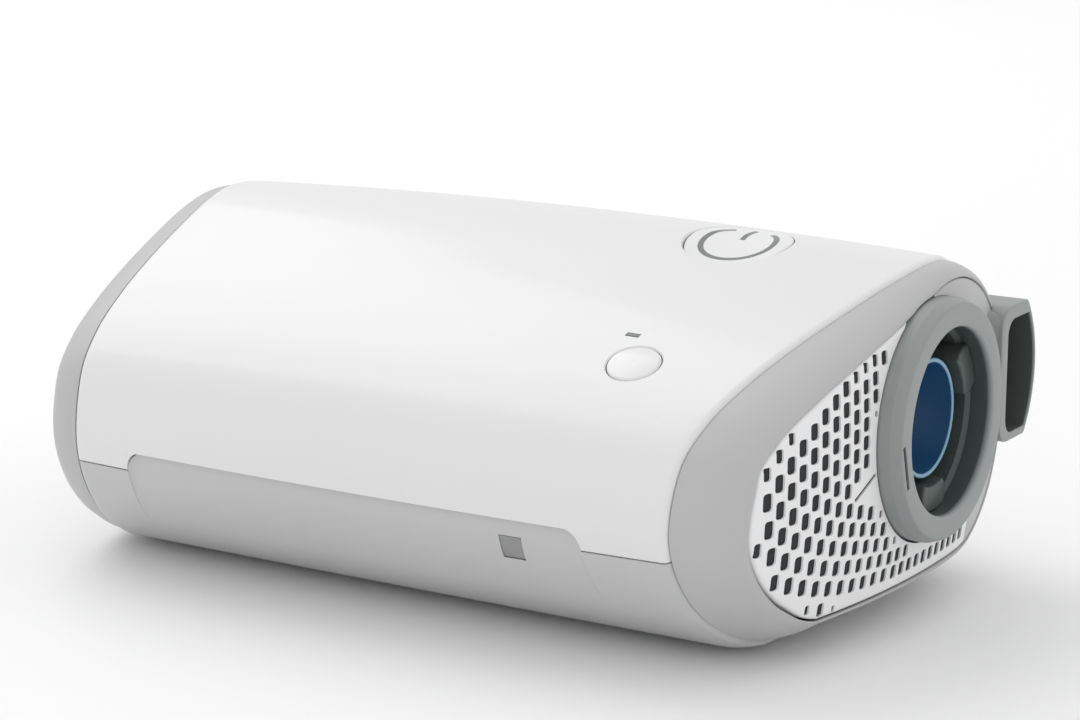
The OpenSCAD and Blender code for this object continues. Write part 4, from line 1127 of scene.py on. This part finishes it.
hood_rings = [np.insert(hood_outline(0), 0, hood_root, axis=1)]
for a in np.radians(np.linspace(0, 90, 6)):
    ring = hood_outline(hood_ease * (1 - math.cos(a)))
    hood_rings.append(np.insert(ring, 0, hood_lip - hood_ease * (1 - math.sin(a)), axis=1))
for a in np.radians(np.linspace(90, 0, 4)):
    ring = mouth_outline(0.1 * (math.cos(a) - 1))
    hood_rings.append(np.insert(ring, 0, hood_lip - 0.1 * (1 - math.sin(a)), axis=1))
hood_rings.append(np.insert(mouth_outline(0), 0, socket_floor, axis=1))
first = (hood_root, *hood_outline(0).mean(0))
last = (socket_floor, *mouth_outline(0).mean(0))
surround = body_solid("inlet_surround_skin", first, hood_rings, last, collar_grey)
wires = np.stack([wire_y + wire_radius * np.cos(turns), hood_arc[1] + wire_radius * np.sin(turns)], -1)
cut(surround, prism("wires", wires, tool_back, 60, collar_grey))
with bpy.context.temp_override(active_object=surround, selected_editable_objects=[surround, web]):
    bpy.ops.object.join()
finish_piece(surround, "inlet_surround")


# ---- Floor, backdrop and light ------------------------------------------------------------
# A pale sweep under soft light. The background is white to the camera only, and the floor
# keeps the machine's shadow.
floor_pale = Surface("floor")
tone = floor_pale.blend(floor_pale.noise(0.5), (0.91, 0.91, 0.91), (0.93, 0.93, 0.93))
floor_pale.feed("Base Color", tone)
floor_pale.constant(Roughness=0.7)
bpy.ops.mesh.primitive_plane_add(size=6)
floor = bpy.context.object
floor.name = "floor"
floor.data.materials.append(floor_pale.data)

world = bpy.data.worlds.new("world")
bpy.context.scene.world = world
world.use_nodes = True
sky = world.node_tree
shade = sky.nodes["Background"]
shade.inputs["Color"].default_value = (1, 1, 1, 1)
rays = sky.nodes.new("ShaderNodeLightPath")
level = sky.nodes.new("ShaderNodeMapRange")
level.inputs["To Min"].default_value = 0.92
level.inputs["To Max"].default_value = 1.0
sky.links.new(rays.outputs["Is Camera Ray"], level.inputs["Value"])
sky.links.new(level.outputs["Result"], shade.inputs["Strength"])


def square_light(name, place, power):
    data = bpy.data.lights.new(name, "AREA")
    data.shape = "SQUARE"
    data.size = 1.0
    data.energy = power
    lamp = bpy.data.objects.new(name, data)
    lamp.location = place
    lamp.rotation_euler = (focus - Vector(place)).to_track_quat("-Z", "Y").to_euler()
    bpy.context.scene.collection.objects.link(lamp)


square_light("key_light", (-0.8, 0.3, 1.0), 3.8)
square_light("front_light", (-0.2, -1.3, 0.6), 0.5)

bpy.context.scene.view_settings.view_transform = "Standard"
